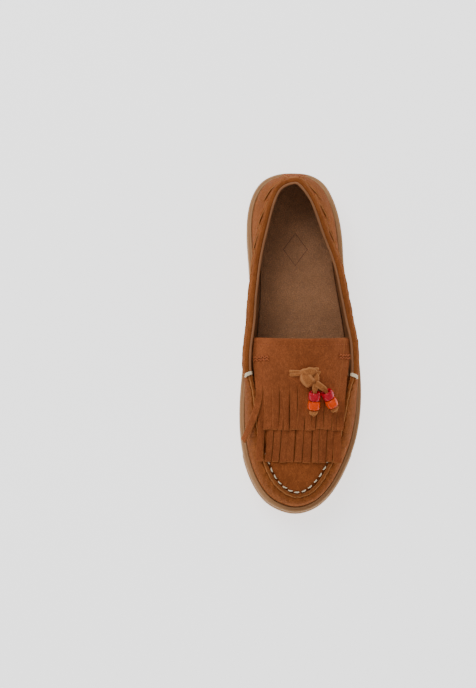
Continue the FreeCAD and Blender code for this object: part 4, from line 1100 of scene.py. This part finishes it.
def apron_stitches():
    """Cream hand stitches round the toe, in the channel inside the ridge."""
    parts = []
    for k, (x, y) in enumerate(SEWN):
        xa, ya = SEWN[max(k - 1, 0)]
        xb, yb = SEWN[min(k + 1, len(SEWN) - 1)]
        d = norm(np.array([xb - xa, yb - ya]))
        turn = float(rng.normal(0, 0.08))
        d = np.array([d[0] * math.cos(turn) - d[1] * math.sin(turn), d[0] * math.sin(turn) + d[1] * math.cos(turn)])
        gap2 = np.hypot(ridge[:, 0] - x, ridge[:, 1] - y)
        i0 = int(gap2.argmin())
        x, y = np.array([x, y]) + ridge_in[i0] * max(0.0, 5.0 - float(gap2[i0]))
        half = 1.75 + float(rng.normal(0, 0.15))
        if k in (0, 13):
            half = 1.3
        q = np.array([(x, y) - d * half, (x, y) + d * half])
        p, nn = apron_at(q[:, 0], q[:, 1], np.array([0.10, 0.10]))
        parts.append(stitch(p[0], p[1], nn[0], nn[1], 0.54, arch=0.45))
    v, f = join(parts)
    add_mesh("apron_hand_stitches", v, f, M["cream"], "root", ("apron_stitches",))


apron_stitches()


def saddle_stitches():
    parts = []
    for u, sgn in ((LAT, 1), (MED, -1)):
        t = top_point(np.array([u]))[0]
        c = np.array([t[0], t[1] + 0.2, t[2]])
        for off, big in ((-0.75, 1.0), (0.55, 0.85)):
            pts = np.array([(sgn * 1.5, -0.9 + off, -2.4), (sgn * 1.3, -0.7 + off, -0.4), (sgn * 0.5, -0.3 + off, 1.0), (-sgn * 0.8, 0.2 + off, 1.35),
                            (-sgn * 2.2, 0.7 + off, 0.9), (-sgn * 3.0, 1.0 + off, -0.6), (-sgn * 3.1, 1.0 + off, -2.2)]) + c
            path = catmull(pts, 34)
            nn = norm(path - (c + np.array([-sgn * 0.8, 0, -2.5])))
            parts.append(sweep(path, nn, circle(0.85 * big, 10)))
    v, f = join(parts)
    add_mesh("saddle_hand_stitches", v, f, M["cream"], "root", ("saddle_stitches",))


saddle_stitches()


# ------------------------------------------------------------------ kiltie: two fringed layers
RIDGE = top_point(np.linspace(LAT - 1.0, MED + 1.0, 900))
RIDGE_T = norm(np.gradient(RIDGE[:, :2], axis=0))
RIDGE_O = np.stack([RIDGE_T[:, 1], -RIDGE_T[:, 0]], -1)
RIDGE_O *= np.sign(np.sum(RIDGE_O * (RIDGE[:, :2] - np.array([-1.0, -60.0])), 1))[:, None]


def over_ridge(p):
    """Signed distance outside the seam ridge in plan, and the ridge's height there."""
    q = p.reshape(-1, 3)
    d2 = ((q[:, None, :2] - RIDGE[None, ::3, :2]) ** 2).sum(-1)
    i = d2.argmin(1) * 3
    d = np.sum((q[:, :2] - RIDGE[i, :2]) * RIDGE_O[i], 1)
    return d.reshape(p.shape[:-1]), RIDGE[i, 2].reshape(p.shape[:-1])


def softmax2(a, b, e=0.6):
    return 0.5 * (a + b + np.sqrt((a - b) ** 2 + e * e))


def drape(x, y, h, stiff=1.0):
    """A point h above the apron, lifted where it has to pass over the ridge and hanging beyond it."""
    p, n = apron_at(x, y, h)
    d, zr = over_ridge(p)
    ten = smooth(-36, -50, y)
    lip = zr + 2.15 + h - 0.55 * np.maximum(-d - 3.0, 0) - 0.05 * np.maximum(-d - 3.0, 0) ** 2 - 0.028 * np.maximum(d, 0) ** 2 - 0.10 * np.maximum(d, 0)
    lift = softmax2(p[..., 2], lip) - p[..., 2]
    p[..., 2] += lift * ten * stiff
    return p, n


def fringe(name, mat, body, node, rows_back, y_root, strands, edges, h0, thick, seed, override=None):
    """strands: (left x, right x, bottom y) at y_ref for each strand; edges: pchips of the side edges against y."""
    r = np.random.default_rng(seed)
    S = len(strands)
    m = 9
    y_ref = edges[2]
    le, re = edges[0], edges[1]
    n_back = len(rows_back)
    n_fr = 44
    total = n_back + n_fr
    R = n_back - 1
    bounds_root = []
    L0, R0 = le(y_root), re(y_root)
    refs = [strands[0][0]] + [0.5 * (strands[k][1] + strands[k + 1][0]) for k in range(S - 1)] + [strands[-1][1]]
    refs = np.array(refs)
    fr = (refs - refs[0]) / (refs[-1] - refs[0])
    root = L0 + fr * (R0 - L0)
    jit = np.concatenate([[0], r.uniform(-1.6, 1.6, S - 1), [0]])
    shape_j = np.linspace(0, 1, m)
    # across: outermost columns sit at the cut edges and the next ones close to them, so the edges are crisp
    acr = np.array([0, 0.05, 0.14, 0.32, 0.5, 0.68, 0.86, 0.95, 1.0])
    dropx = np.array([0.30, 0.06, 0, 0, 0, 0, 0, 0.06, 0.30])
    top = np.zeros((total, S, m, 3))
    bot = np.zeros((total, S, m, 3))
    raw = np.zeros((total, S, m))
    for s in range(S):
        xl_ref, xr_ref, y_end = strands[s]
        bow_x = r.normal(0, 0.35)
        lift_end = abs(r.normal(0.0, 0.55)) + 0.15
        tilt = r.normal(0, 0.30)
        cup = r.normal(0.15, 0.22)
        lean = r.normal(0, 0.25)
        for i in range(total):
            if i <= R:
                y = rows_back[i]
                a, b = le(y) + fr[s] * (re(y) - le(y)), le(y) + fr[s + 1] * (re(y) - le(y))
                g = math.exp(-((R - i) / 3.0) ** 2)
                x = a + (b - a) * acr
                yy = y + g * (jit[s] * (1 - acr) + jit[s + 1] * acr)
                hh = h0 + thick + 0.12 * noise(np.stack([x, yy * 1.0, 0 * x], -1), 13, seed) * smooth(0, 6, i)
                t = 0.0
            else:
                t = (i - R) / n_fr
                y = y_root + (y_end - y_root) * t
                k = (y - y_root) / (y_ref - y_root)
                a = root[s] + (xl_ref - root[s]) * k
                b = root[s + 1] + (xr_ref - root[s + 1]) * k
                gap = 0.16 * min(1, t * 6)
                if s > 0:
                    a = a + gap
                if s < S - 1:
                    b = b - gap
                g = math.exp(-((i - R) / 4.0) ** 2)
                x = a + (b - a) * acr + bow_x * math.sin(math.pi * t) + lean * t * t
                yy = y + g * (jit[s] * (1 - acr) + jit[s + 1] * acr)
                hh = (h0 + thick + lift_end * t ** 2.2 + tilt * (acr - 0.5) * 2 * smooth(0, 0.25, t) + cup * (1 - (2 * acr - 1) ** 2) * smooth(0, 0.3, t)
                      + 0.10 * noise(np.stack([x, yy, 0 * x + s * 7], -1), 9, seed + 1))
                if t > 0.985:
                    yy = yy + 0.12
            edge_d = dropx.copy()
            if i <= R:
                soft = smooth(R - 3, R, i)
                edge_d[1:-1] = edge_d[1:-1] * soft
                if s > 0:
                    edge_d[0] *= soft
                if s < S - 1:
                    edge_d[-1] *= soft
            rear = 0.0
            if i < 4:
                rear = (1.15, 0.62, 0.22, 0.05)[i]
            endd = (0.34 if i == total - 1 else 0.08 if i == total - 2 else 0)
            hh = hh - edge_d - rear - endd
            yy = swept(x, yy)
            P, nn = drape(x, yy, hh)
            Q, _ = drape(x, yy, hh - (thick - edge_d - rear * 0.2 - endd) + 0.0)
            if override is not None and s in override and i > R:
                c = override[s](t)
                c2 = override[s](min(t + 0.02, 1.0)) if t < 0.99 else override[s](1.0)
                c1 = override[s](max(t - 0.02, 0.0))
                tv = norm((c2 - c1))
                up = norm(np.array([c[3], c[4], c[5]])) if len(c) > 3 else np.array([0, 0, 1.0])
                tv = tv[:3]
                sd = norm(np.cross(up, tv))
                sd = sd * (1 if sd[0] > 0 else -1)
                wd = (b - a)
                k = smooth(0.0, 0.35, t)
                c0 = c[:3] + sd * ((acr - 0.5) * wd)[:, None]
                Pn = c0 + up * (thick / 2 - edge_d - endd)[:, None]
                Qn = c0 - up * (thick / 2 - 0.0)
                P = P * (1 - k) + Pn * k
                Q = Q * (1 - k) + Qn * k
            top[i, s], bot[i, s] = P, Q
            raw[i, s, 0] = raw[i, s, -1] = 1.0 if (i > R or (s == 0) or (s == S - 1)) else 0.0
            if i == total - 1:
                raw[i, s] = 1.0
    # shared vertices while the layer is whole
    verts, rawv = [], []
    index = {}

    def vid(layer, i, s, j):
        if i <= R and j == m - 1 and s < S - 1:
            s, j = s + 1, 0
        key = (layer, i, s, j)
        if key not in index:
            index[key] = len(verts)
            src = top if layer == 0 else bot
            if i <= R and j == 0 and s > 0:
                verts.append(0.5 * (src[i, s, 0] + src[i, s - 1, m - 1]))
            else:
                verts.append(src[i, s, j])
            rawv.append(raw[i, s, j] * (1.0 if layer == 0 else 0.8))
        return index[key]

    faces = []
    for s in range(S):
        for i in range(total - 1):
            for j in range(m - 1):
                faces.append([vid(0, i, s, j), vid(0, i + 1, s, j), vid(0, i + 1, s, j + 1), vid(0, i, s, j + 1)])
                faces.append([vid(1, i, s, j + 1), vid(1, i + 1, s, j + 1), vid(1, i + 1, s, j), vid(1, i, s, j)])
            if s == 0 or i >= R:
                faces.append([vid(1, i, s, 0), vid(1, i + 1, s, 0), vid(0, i + 1, s, 0), vid(0, i, s, 0)])
            if s == S - 1 or i >= R:
                faces.append([vid(0, i, s, m - 1), vid(0, i + 1, s, m - 1), vid(1, i + 1, s, m - 1), vid(1, i, s, m - 1)])
        for j in range(m - 1):
            faces.append([vid(0, 0, s, j), vid(0, 0, s, j + 1), vid(1, 0, s, j + 1), vid(1, 0, s, j)])
            faces.append([vid(1, total - 1, s, j), vid(1, total - 1, s, j + 1), vid(0, total - 1, s, j + 1), vid(0, total - 1, s, j)])
    ob = add_mesh(name, np.array(verts), faces, mat, None, node, attrs={"raw": np.array(rawv)})
    ob.data.set_sharp_from_angle(angle=math.radians(50))
    return ob, (top, bot)


KIN = pchip([(-110, -34.6), (-98, -36.2), (-88, -34.8), (-73, -33.6), (-50, -33.2), (-34, -34.2), (-20, -35.2), (-2, -35.9)])
LOW_L = pchip([(-98, -34.2), (-88, -33.4), (-73, -32.6), (-50, -32.4), (-34, -33.2), (-20, -34.0), (-2, -34.6)])
LOW_R = pchip([(-98, 30.6), (-88, 30.6), (-73, 31.0), (-50, 31.4), (-34, 31.9), (-20, 33.2), (-2, 34.2)])
UP_L = pchip([(-73, -33.9), (-50, -33.5), (-34, -34.4), (-20, -35.4), (-2, -36.0)])
UP_R = pchip([(-73, 31.6), (-50, 32.0), (-34, 32.9), (-20, 34.6), (-2, 36.2)])
rows_b = np.concatenate([[-1.7, -1.9, -2.3, -3.0], np.linspace(-4.2, -42.0, 44)])
up_x = [-33.9, -28.5, -22.3, -17.0, -13.7, -9.4, -4.1, 1.7, 7.0, 10.2, 15.5, 21.7, 26.1, 31.3]
r7 = np.random.default_rng(5)
upper_strands = [(up_x[k], up_x[k + 1], -72.6 + float(r7.uniform(-0.7, 0.5))) for k in range(len(up_x) - 1)]
# the outermost strand on the inner side has swung out over the ridge
splay_pts = np.array([(-31.6, -42.0, 61.8), (-32.9, -48.5, 61.6), (-34.6, -56.0, 61.4), (-37.2, -64.0, 60.2), (-40.0, -70.5, 56.6), (-43.0, -76.5, 51.2), (-45.3, -80.8, 46.8)])
splay_up = np.array([(-0.75, -0.1, 0.65), (-0.62, -0.1, 0.78), (-0.45, -0.1, 0.88), (-0.45, -0.18, 0.86), (-0.72, -0.3, 0.62), (-0.86, -0.35, 0.42), (-0.88, -0.36, 0.36)])
splay_all = np.concatenate([splay_pts, splay_up], 1)


def splay(t):
    """Centre line and up direction of the strand that has swung out."""
    k = t * (len(splay_all) - 1)
    i = int(min(math.floor(k), len(splay_all) - 2))
    f = k - i
    p = splay_all
    ext = np.concatenate([[2 * p[0] - p[1]], p, [2 * p[-1] - p[-2]]])
    a, b, c, d = ext[i], ext[i + 1], ext[i + 2], ext[i + 3]
    return 0.5 * (2 * b + (c - a) * f + (2 * a - 5 * b + 4 * c - d) * f * f + (3 * b - a - 3 * c + d) * f ** 3)


up_ob, up_grid = fringe("kiltie_upper_fringed", M["kiltie"], "kiltie_upper_flap", ("kiltie_upper_yoke", "kiltie_upper"), rows_b, -42.0, upper_strands,
                        (UP_L, UP_R, -66.0), 1.95, 1.3, 101, {0: splay})
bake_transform(up_ob)

rows_l = np.concatenate([[-2.6, -2.8, -3.2, -3.9], np.linspace(-5.2, -60.0, 56)])
low_s = [(-34.4, -28.8), (-27.6, -22.7), (-22.3, -16.7), (-16.5, -11.2), (-11.0, -5.5), (-5.4, 0.4), (0.9, 7.3), (7.4, 12.4), (12.6, 18.6), (18.8, 23.2), (24.2, 30.6)]
lower_strands = [(a, b, -97.6 + float(r7.uniform(-0.8, 0.6))) for a, b in low_s]
low_ob, low_grid = fringe("kiltie_lower_fringed", M["kiltie"], "kiltie_lower_flap", ("kiltie_lower_yoke", "kiltie_lower"), rows_l, -60.0, lower_strands,
                          (LOW_L, LOW_R, -88.0), 0.3, 1.3, 202)
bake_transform(low_ob)


def cut_size(ob, grid):
    """Width and length of the hide this piece was cut from, and the area of one face, in metres."""
    top = grid[0]
    row = top[25].reshape(-1, 3)
    width = float(np.linalg.norm(np.diff(row, axis=0), axis=1).sum()) / 1000
    mid = top[:, top.shape[1] // 2, 4]
    length = float(np.linalg.norm(np.diff(mid, axis=0), axis=1).sum()) / 1000
    bmx = bmesh.new()
    bmx.from_mesh(ob.data)
    area = sum(f.calc_area() for f in bmx.faces) / 2
    bmx.free()
    return width, length, min(area, width * length)


up_w, up_l, up_a = cut_size(up_ob, up_grid)
low_w, low_l, low_a = cut_size(low_ob, low_grid)


def fold_details():
    """Sewn line along the folded rear edge, and the zigzag bar tacks at both sides."""
    parts = []
    xs = np.linspace(-33.6, 33.6, 300)
    ys = np.full(300, -7.2) + 0.15 * np.sin(xs / 3)
    p, n = apron_at(xs, swept(xs, ys), np.full(300, 3.2))
    parts += stitch_row(p, n, 2.7, 1.9, 0.17)
    v, f = join(parts)
    add_mesh("kiltie_edge_stitching", v, f, M["brown"], "root")
    parts = []
    for x0, x1, y0, y1 in ((-34.2, -23.4, -21.2, 0), (26.0, 34.8, -19.6, 0)):
        for row in (0, 1):
            n_z = 9
            xs = np.linspace(x0, x1, n_z)
            yy = y0 + row * 2.2 + np.where(np.arange(n_z) % 2, 2.0, 0.0) + 0.02 * (xs - x0)
            yy = yy + np.random.default_rng(row + int(x0)%7).normal(0, 0.15, n_z)
            q, nq = apron_at(xs, swept(xs, yy), np.full(n_z, 3.25))
            for k in range(n_z - 1):
                a, b = q[k], q[k + 1]
                e = (b - a) * 0.04
                parts.append(stitch(a + e, b - e, nq[k], nq[k + 1], 0.46))
    v, f = join(parts)
    add_mesh("kiltie_bar_tacks", v, f, M["brown"], "root", ("bar_tacks",))


fold_details()


# ------------------------------------------------------------------ bow knot, tails and beads
def on_kiltie(x, y, high):
    return apron_at(np.asarray(x, float), np.asarray(y, float), np.asarray(high, float) + 3.2)


def thong_path(pts, n, width=3.6, thick=1.5, seed=0, name=None, twist=None, widths=None, round_ends=True, lump=0.06):
    """Suede thong through plan points (x, y, height above the kiltie)."""
    pts = np.asarray(pts, float)
    c = catmull(pts, n)
    p, nn = on_kiltie(c[:, 0], c[:, 1], c[:, 2])
    w = np.ones(n) * width if widths is None else np.interp(np.linspace(0, 1, n), np.linspace(0, 1, len(widths)), widths)
    t = np.linspace(0, 1, n)
    if round_ends:
        e = np.minimum(smooth(-0.02, 0.05, t), smooth(1.02, 0.95, t))
        w = w * (0.6 + 0.4 * e)
    prof = band(1.0, 1.0, 4, 0.40)
    jitter = 1 + lump * noise(p, 2.6, 300 + seed)
    sc = np.stack([w * jitter, np.full(n, thick) * (1 + lump * noise(p, 2.2, 320 + seed))], 1)
    v, f = sweep(p, nn, prof, sc, twist=twist)
    raw = np.tile((np.abs(prof[:, 0]) > 0.38).astype(float), n)
    return v, f, raw


def lump_strap(centre, rx, ry, h, angle, width, thick, seed, turns=(-120, 120), n=46):
    """A turn of thong wrapped over the knot: an arch across the direction given by angle."""
    cx, cy = centre
    ca, sa = math.cos(math.radians(angle)), math.sin(math.radians(angle))
    a = np.radians(np.linspace(turns[0], turns[1], n))
    off = rx * np.sin(a)
    hgt = h * np.cos(a)
    side = ry * np.sin(a) * 0.35
    x = cx + off * ca - side * sa
    y = cy + off * sa + side * ca
    p0, nn = on_kiltie(np.full(n, cx), np.full(n, cy), np.zeros(n))
    q, _ = on_kiltie(x, y, np.maximum(hgt, -0.2))
    up = nn * np.cos(a)[:, None] + norm(q - p0) * np.abs(np.sin(a))[:, None]
    prof = band(1.0, 1.0, 4, 0.40)
    sc = np.stack([width * (1 + 0.06 * noise(q, 2.5, seed)) * (0.75 + 0.25 * np.cos(a * 0.7)), np.full(n, thick) * (1 + 0.1 * noise(q, 2.0, seed + 1))], 1)
    v, f = sweep(q, up, prof, sc)
    raw = np.tile((np.abs(prof[:, 0]) > 0.38).astype(float), n)
    return v, f, raw


def build_knot():
    parts, raws = [], []

    def put(t):
        parts.append((t[0], t[1]))
        raws.append(t[2])
    # doubled leg out of the left slot, running in under the lump, and the other end going down the right slot
    put(thong_path([(-10.0, -29.5, -2.6), (-9.0, -29.5, -0.2), (-7.4, -29.5, 0.8), (-3.5, -29.6, 1.0), (0.5, -30.0, 1.3), (3.0, -30.4, 2.0)], 44, 2.4, 1.3, 1))
    put(thong_path([(-9.9, -32.1, -2.6), (-8.9, -32.1, -0.2), (-7.4, -32.0, 0.8), (-3.5, -31.8, 1.0), (0.5, -31.8, 1.3), (3.0, -32.0, 2.0)], 44, 2.4, 1.3, 2))
    put(thong_path([(7.0, -30.2, 2.0), (9.4, -30.4, 1.7), (11.4, -30.6, 0.9), (12.6, -30.9, -0.3), (13.4, -31.2, -2.6)], 34, 3.2, 1.4, 3))
    # the turn that lies across the top, broad and puffed up
    put(thong_path([(-0.8, -30.4, 0.4), (-0.2, -29.8, 2.9), (1.6, -29.0, 5.0), (4.2, -28.7, 5.8), (6.8, -28.9, 4.9), (8.2, -29.7, 2.9), (8.6, -30.7, 0.9)], 80, 6.0, 2.6, 4, widths=[3.4, 5.0, 6.0, 6.3, 5.6, 4.6, 3.2], lump=0.16))
    put(thong_path([(-1.4, -31.6, 0.6), (-0.4, -31.2, 3.0), (1.6, -30.9, 4.4), (4.8, -31.1, 4.4), (7.0, -31.6, 3.2)], 60, 3.2, 1.9, 14, widths=[2.6, 3.2, 3.4, 3.2, 2.6], lump=0.14))
    # the cut end that sticks out at its right
    put(thong_path([(5.2, -28.5, 3.4), (7.8, -28.0, 3.4), (9.6, -27.7, 2.8), (10.8, -28.1, 2.0)], 36, 3.4, 1.6, 5, widths=[3.4, 3.8, 3.4, 2.8], lump=0.12))
    # the second turn below it, leaning to the right, where both tails come out
    put(thong_path([(1.8, -31.0, 2.2), (2.0, -32.4, 5.4), (3.2, -34.2, 7.2), (4.8, -36.4, 6.6), (6.2, -37.8, 4.4), (6.9, -38.8, 1.8)], 80, 7.2, 2.7, 6, widths=[5.0, 7.4, 8.8, 8.6, 7.0, 4.8], lump=0.16))
    # a narrow turn round its lower left
    put(thong_path([(-0.6, -32.4, 0.6), (-0.1, -34.6, 2.8), (1.6, -37.2, 3.8), (3.6, -38.6, 3.4), (5.2, -39.4, 1.8)], 56, 3.6, 1.8, 7, widths=[2.6, 3.6, 4.0, 3.6, 2.8], lump=0.14))
    # the turn that closes it on the right
    put(thong_path([(8.4, -30.6, 1.2), (9.4, -32.4, 3.4), (9.6, -34.2, 4.2), (9.6, -36.2, 3.6), (9.6, -37.8, 2.0)], 50, 3.8, 1.9, 8, widths=[3.0, 4.0, 4.2, 4.0, 3.2], lump=0.14))
    # the heart of the knot, so that nothing shows through between the turns
    n1, n2 = 22, 14
    cx, cy = 4.7, -34.2
    a = np.linspace(0, 2 * math.pi, n1, endpoint=False)
    rows = []
    for k in range(n2):
        el = math.radians(-70 + 160 * k / (n2 - 1))
        rr = math.cos(el)
        x = cx + 5.0 * rr * np.cos(a) + 0.5 * np.sin(a) * rr
        y = cy + 4.9 * rr * np.sin(a)
        h = 1.9 + 2.3 * math.sin(el) + 0.12 * noise(np.stack([x, y, x * 0], -1), 2.5, 77)
        rows.append(on_kiltie(x, y, h)[0])
    P = np.stack(rows, 0)
    v = P.reshape(-1, 3)
    f = quads(n2, n1, wrap_m=True)
    f.append(list(range(n1))[::-1])
    f.append([(n2 - 1) * n1 + j for j in range(n1)])
    parts.append((v, f))
    raws.append(np.zeros(len(v)))
    v, f = join(parts)
    return add_mesh("thong_bow_knot", v, f, M["thong"], "kiltie_upper_flap", ("bow_knot",), attrs={"raw": np.concatenate(raws)})


build_knot()


class Frame:
    def __init__(self, origin, along, up):
        self.o = np.array(origin, float)
        self.x = norm(np.array(along, float))
        z = np.array(up, float)
        self.z = norm(z - self.x * np.dot(z, self.x))
        self.y = np.cross(self.z, self.x)

    def at(self, p):
        p = np.asarray(p, float)
        return self.o + p[..., 0:1] * self.x + p[..., 1:2] * self.y + p[..., 2:3] * self.z


INNER = Frame((9.029, -53.041, 76.762), (-0.05235, -0.93200, -0.35866), (0.12338, -0.36243, 0.92381))
OUTER = Frame((20.899, -51.259, 74.548), (0.42119, -0.78489, -0.45446), (0.32163, -0.33926, 0.88400))


def build_tail(tag, fr, path, seed):
    """Thong of one tail: from beside the knot through both beads to a small end knot."""
    path = np.asarray(path, float)
    n = 90
    c = catmull(path, n)
    p = fr.at(c)
    up = np.tile(fr.z, (n, 1))
    w = np.interp(c[:, 0], [-14, -9.5, -6.8, 8.4, 9.6], [4.9, 4.5, 3.0, 2.7, 2.6])
    prof = band(1.0, 1.0, 4, 0.40)
    sc = np.stack([w * (1 + 0.05 * noise(p, 2.4, seed)), 1.5 * (1 + 0.07 * noise(p, 2.0, seed + 1))], 1)
    v, f = sweep(p, up, prof, sc)
    parts = [(v, f)]
    raws = [np.tile((np.abs(prof[:, 0]) > 0.38).astype(float), n)]
    # end knot: one loop round the thong, and the cut end coming out of it
    k = 40
    a = np.linspace(-0.6 * math.pi, 1.25 * math.pi, k)
    loop = np.stack([8.7 + 0.75 * a / math.pi, 2.75 * np.cos(a), 1.75 * np.sin(a)], -1)
    q = fr.at(loop)
    nn = norm(fr.at(np.stack([loop[:, 0] * 0, np.cos(a), np.sin(a)], -1)) - fr.o)
    sc = np.stack([2.5 * (1 + 0.06 * noise(q, 2, seed + 2)), np.full(k, 1.35)], 1)
    v, f = sweep(q, nn, prof, sc)
    parts.append((v, f)); raws.append(np.tile((np.abs(prof[:, 0]) > 0.38).astype(float), k))
    a = np.linspace(0.1 * math.pi, 1.6 * math.pi, k)
    loop = np.stack([10.2 - 0.5 * a / math.pi, -2.3 * np.cos(a), 1.5 * np.sin(a)], -1)
    q = fr.at(loop)
    nn = norm(fr.at(np.stack([loop[:, 0] * 0, -np.cos(a), np.sin(a)], -1)) - fr.o)
    sc = np.stack([2.0 * (1 + 0.06 * noise(q, 2, seed + 4)), np.full(k, 1.2)], 1)
    v, f = sweep(q, nn, prof, sc)
    parts.append((v, f)); raws.append(np.tile((np.abs(prof[:, 0]) > 0.38).astype(float), k))
    end = catmull(np.array([(8.0, 0, 0), (9.6, 0.2, 0.2), (11.0, 0.5, 0.1), (11.9, 0.9, -0.3)]), 16)
    v, f = sweep(fr.at(end), np.tile(fr.z, (16, 1)), prof, np.stack([np.full(16, 2.6), np.full(16, 1.35)], 1))
    parts.append((v, f)); raws.append(np.tile((np.abs(prof[:, 0]) > 0.38).astype(float), 16))
    v, f = join(parts)
    return add_mesh("thong_tail_" + tag, v, f, M["thong"], "tail_%s_strap" % tag, ("tail_" + tag,), attrs={"raw": np.concatenate(raws)})


build_tail("inner", INNER, [(-13.2, 0.5, -0.6), (-11.6, 0.2, 0.1), (-9.5, 0, 0), (-4, 0, 0), (2, 0, 0), (8.2, 0, 0)], 401)
build_tail("outer", OUTER, [(-16.6, -4.0, -1.6), (-15.0, -3.2, -0.4), (-13.2, -2.3, 0.4), (-11.0, -1.25, 0.6), (-9.0, -0.35, 0.15), (-7.3, 0, 0), (-4, 0, 0), (2, 0, 0), (8.2, 0, 0)], 431)


def build_bead(tag, fr, at, mat, node, seed, tip=0.0, rise=0.0):
    """Hand-made glass ring: a rounded, slightly uneven section turned about the thong."""
    n, m = 64, 40
    h, ro, ri = 3.3, 4.7, 2.25
    a = np.linspace(0, 2 * math.pi, m, endpoint=False)
    # superellipse section between the bore and the outside
    ca, sa = np.cos(a), np.sin(a)
    px = h * np.sign(ca) * np.abs(ca) ** 0.62
    py = (ro + ri) / 2 + (ro - ri) / 2 * np.sign(sa) * np.abs(sa) ** 0.72
    th = np.linspace(0, 2 * math.pi, n, endpoint=False)
    P = np.zeros((n, m, 3))
    for i, t in enumerate(th):
        wob = 1 + 0.012 * math.sin(2 * t + seed) + 0.008 * math.sin(3 * t + 2 * seed)
        wx = 1 + 0.02 * math.sin(t + seed * 1.7)
        r = np.where(py > 3.4, 3.4 + (py - 3.4) * wob, py)
        r = np.minimum(r * np.where(py > 4.2, min(wob, 1.0), 1.0), 4.72)
        r = r + 0.55 * smooth(0.45, 1.0, np.abs(px) / h) * (py < 3.2)
        q0, q1, q2 = px * min(wx, 1.0), r * math.cos(t), r * math.sin(t)
        P[i] = np.stack([at + q0 * math.cos(tip) + q2 * math.sin(tip), q1, -q0 * math.sin(tip) + q2 * math.cos(tip) + rise], -1)
    v = fr.at(P).reshape(-1, 3)
    f = quads(n, m, wrap_n=True, wrap_m=True)
    return add_mesh("glass_bead_" + tag, v, f, mat, node + "_ring", (node,))


build_bead("red_inner", INNER, -3.85, M["red"], "bead_red_inner", 1.0, math.radians(7), 0.1)
build_bead("orange_inner", INNER, 3.45, M["orange"], "bead_orange_inner", 2.2)
build_bead("red_outer", OUTER, -3.85, M["red"], "bead_red_outer", 3.1, math.radians(7), 0.1)
build_bead("orange_outer", OUTER, 3.45, M["orange"], "bead_orange_outer", 4.4)


# ------------------------------------------------------------------ hidden CAD pieces keep their shapes and get their own stuff
def dress(mat, *names):
    for nm in names:
        ob = bpy.data.objects.get(nm)
        if ob is None:
            continue
        me = ob.data
        if len(me.materials) == 0:
            me.materials.append(mat)
        for i in range(len(me.materials)):
            me.materials[i] = mat
        for sl in ob.material_slots:
            sl.material = mat


dress(M["filler"], "midsole")
dress(M["steel"], "shank")
dress(M["board"], "insole_board")
dress(M["foam"], "footbed_foam", "collar_foam")
dress(M["felt"], "heel_counter", "toe_puff")


# ------------------------------------------------------------------ stage
def build_stage():
    m, nt, b = new_mat("pale_floor")
    co = coords(nt)
    k = tex_noise(nt, co, 3.0, 2.0, 0.5)
    nt.links.new(mixc(nt, k, (0.93, 0.93, 0.93), (0.95, 0.95, 0.95)), b.inputs["Base Color"])
    b.inputs["Roughness"].default_value = 0.9
    b.inputs["Emission Color"].default_value = (1.0, 1.0, 1.0, 1)
    b.inputs["Emission Strength"].default_value = 1.5
    bm = bmesh.new()
    bmesh.ops.create_grid(bm, x_segments=8, y_segments=8, size=4.0)
    me = bpy.data.meshes.new("floor")
    bm.to_mesh(me)
    bm.free()
    me.materials.append(m)
    ob = bpy.data.objects.new("floor", me)
    bpy.context.scene.collection.objects.link(ob)

    world = bpy.data.worlds.new("studio")
    bpy.context.scene.world = world
    world.use_nodes = True
    bg = world.node_tree.nodes["Background"]
    bg.inputs["Color"].default_value = (1.0, 1.0, 1.0, 1)
    bg.inputs["Strength"].default_value = WORLD
    for name, loc, size, power, target in LIGHTS:
        ld = bpy.data.lights.new(name, "AREA")
        ld.shape = "RECTANGLE"
        ld.size, ld.size_y = size
        ld.energy = power
        lo = bpy.data.objects.new(name, ld)
        lo.location = loc
        lo.rotation_euler = (Vector(target) - Vector(loc)).to_track_quat("-Z", "Y").to_euler()
        bpy.context.scene.collection.objects.link(lo)

    cam = bpy.data.cameras.new("camera")
    cam.sensor_fit = "VERTICAL"
    cam.sensor_height = 36.0
    cam.lens = 110.65
    cam.clip_start, cam.clip_end = 0.05, 50
    co = bpy.data.objects.new("camera", cam)
    co.location = (-0.04924, -0.2350, 1.6835)
    co.rotation_euler = (math.radians(8.0), 0, 0)
    bpy.context.scene.collection.objects.link(co)
    bpy.context.scene.camera = co


WORLD = 0.50
LIGHTS = [("key_soft", (-0.5, 0.8, 1.5), (1.0, 1.0), 16.0, (0, 0, 0.03)),
          ("fill_soft", (0.3, -0.6, 1.7), (1.0, 1.0), 2.0, (0, 0, 0.03))]
build_stage()
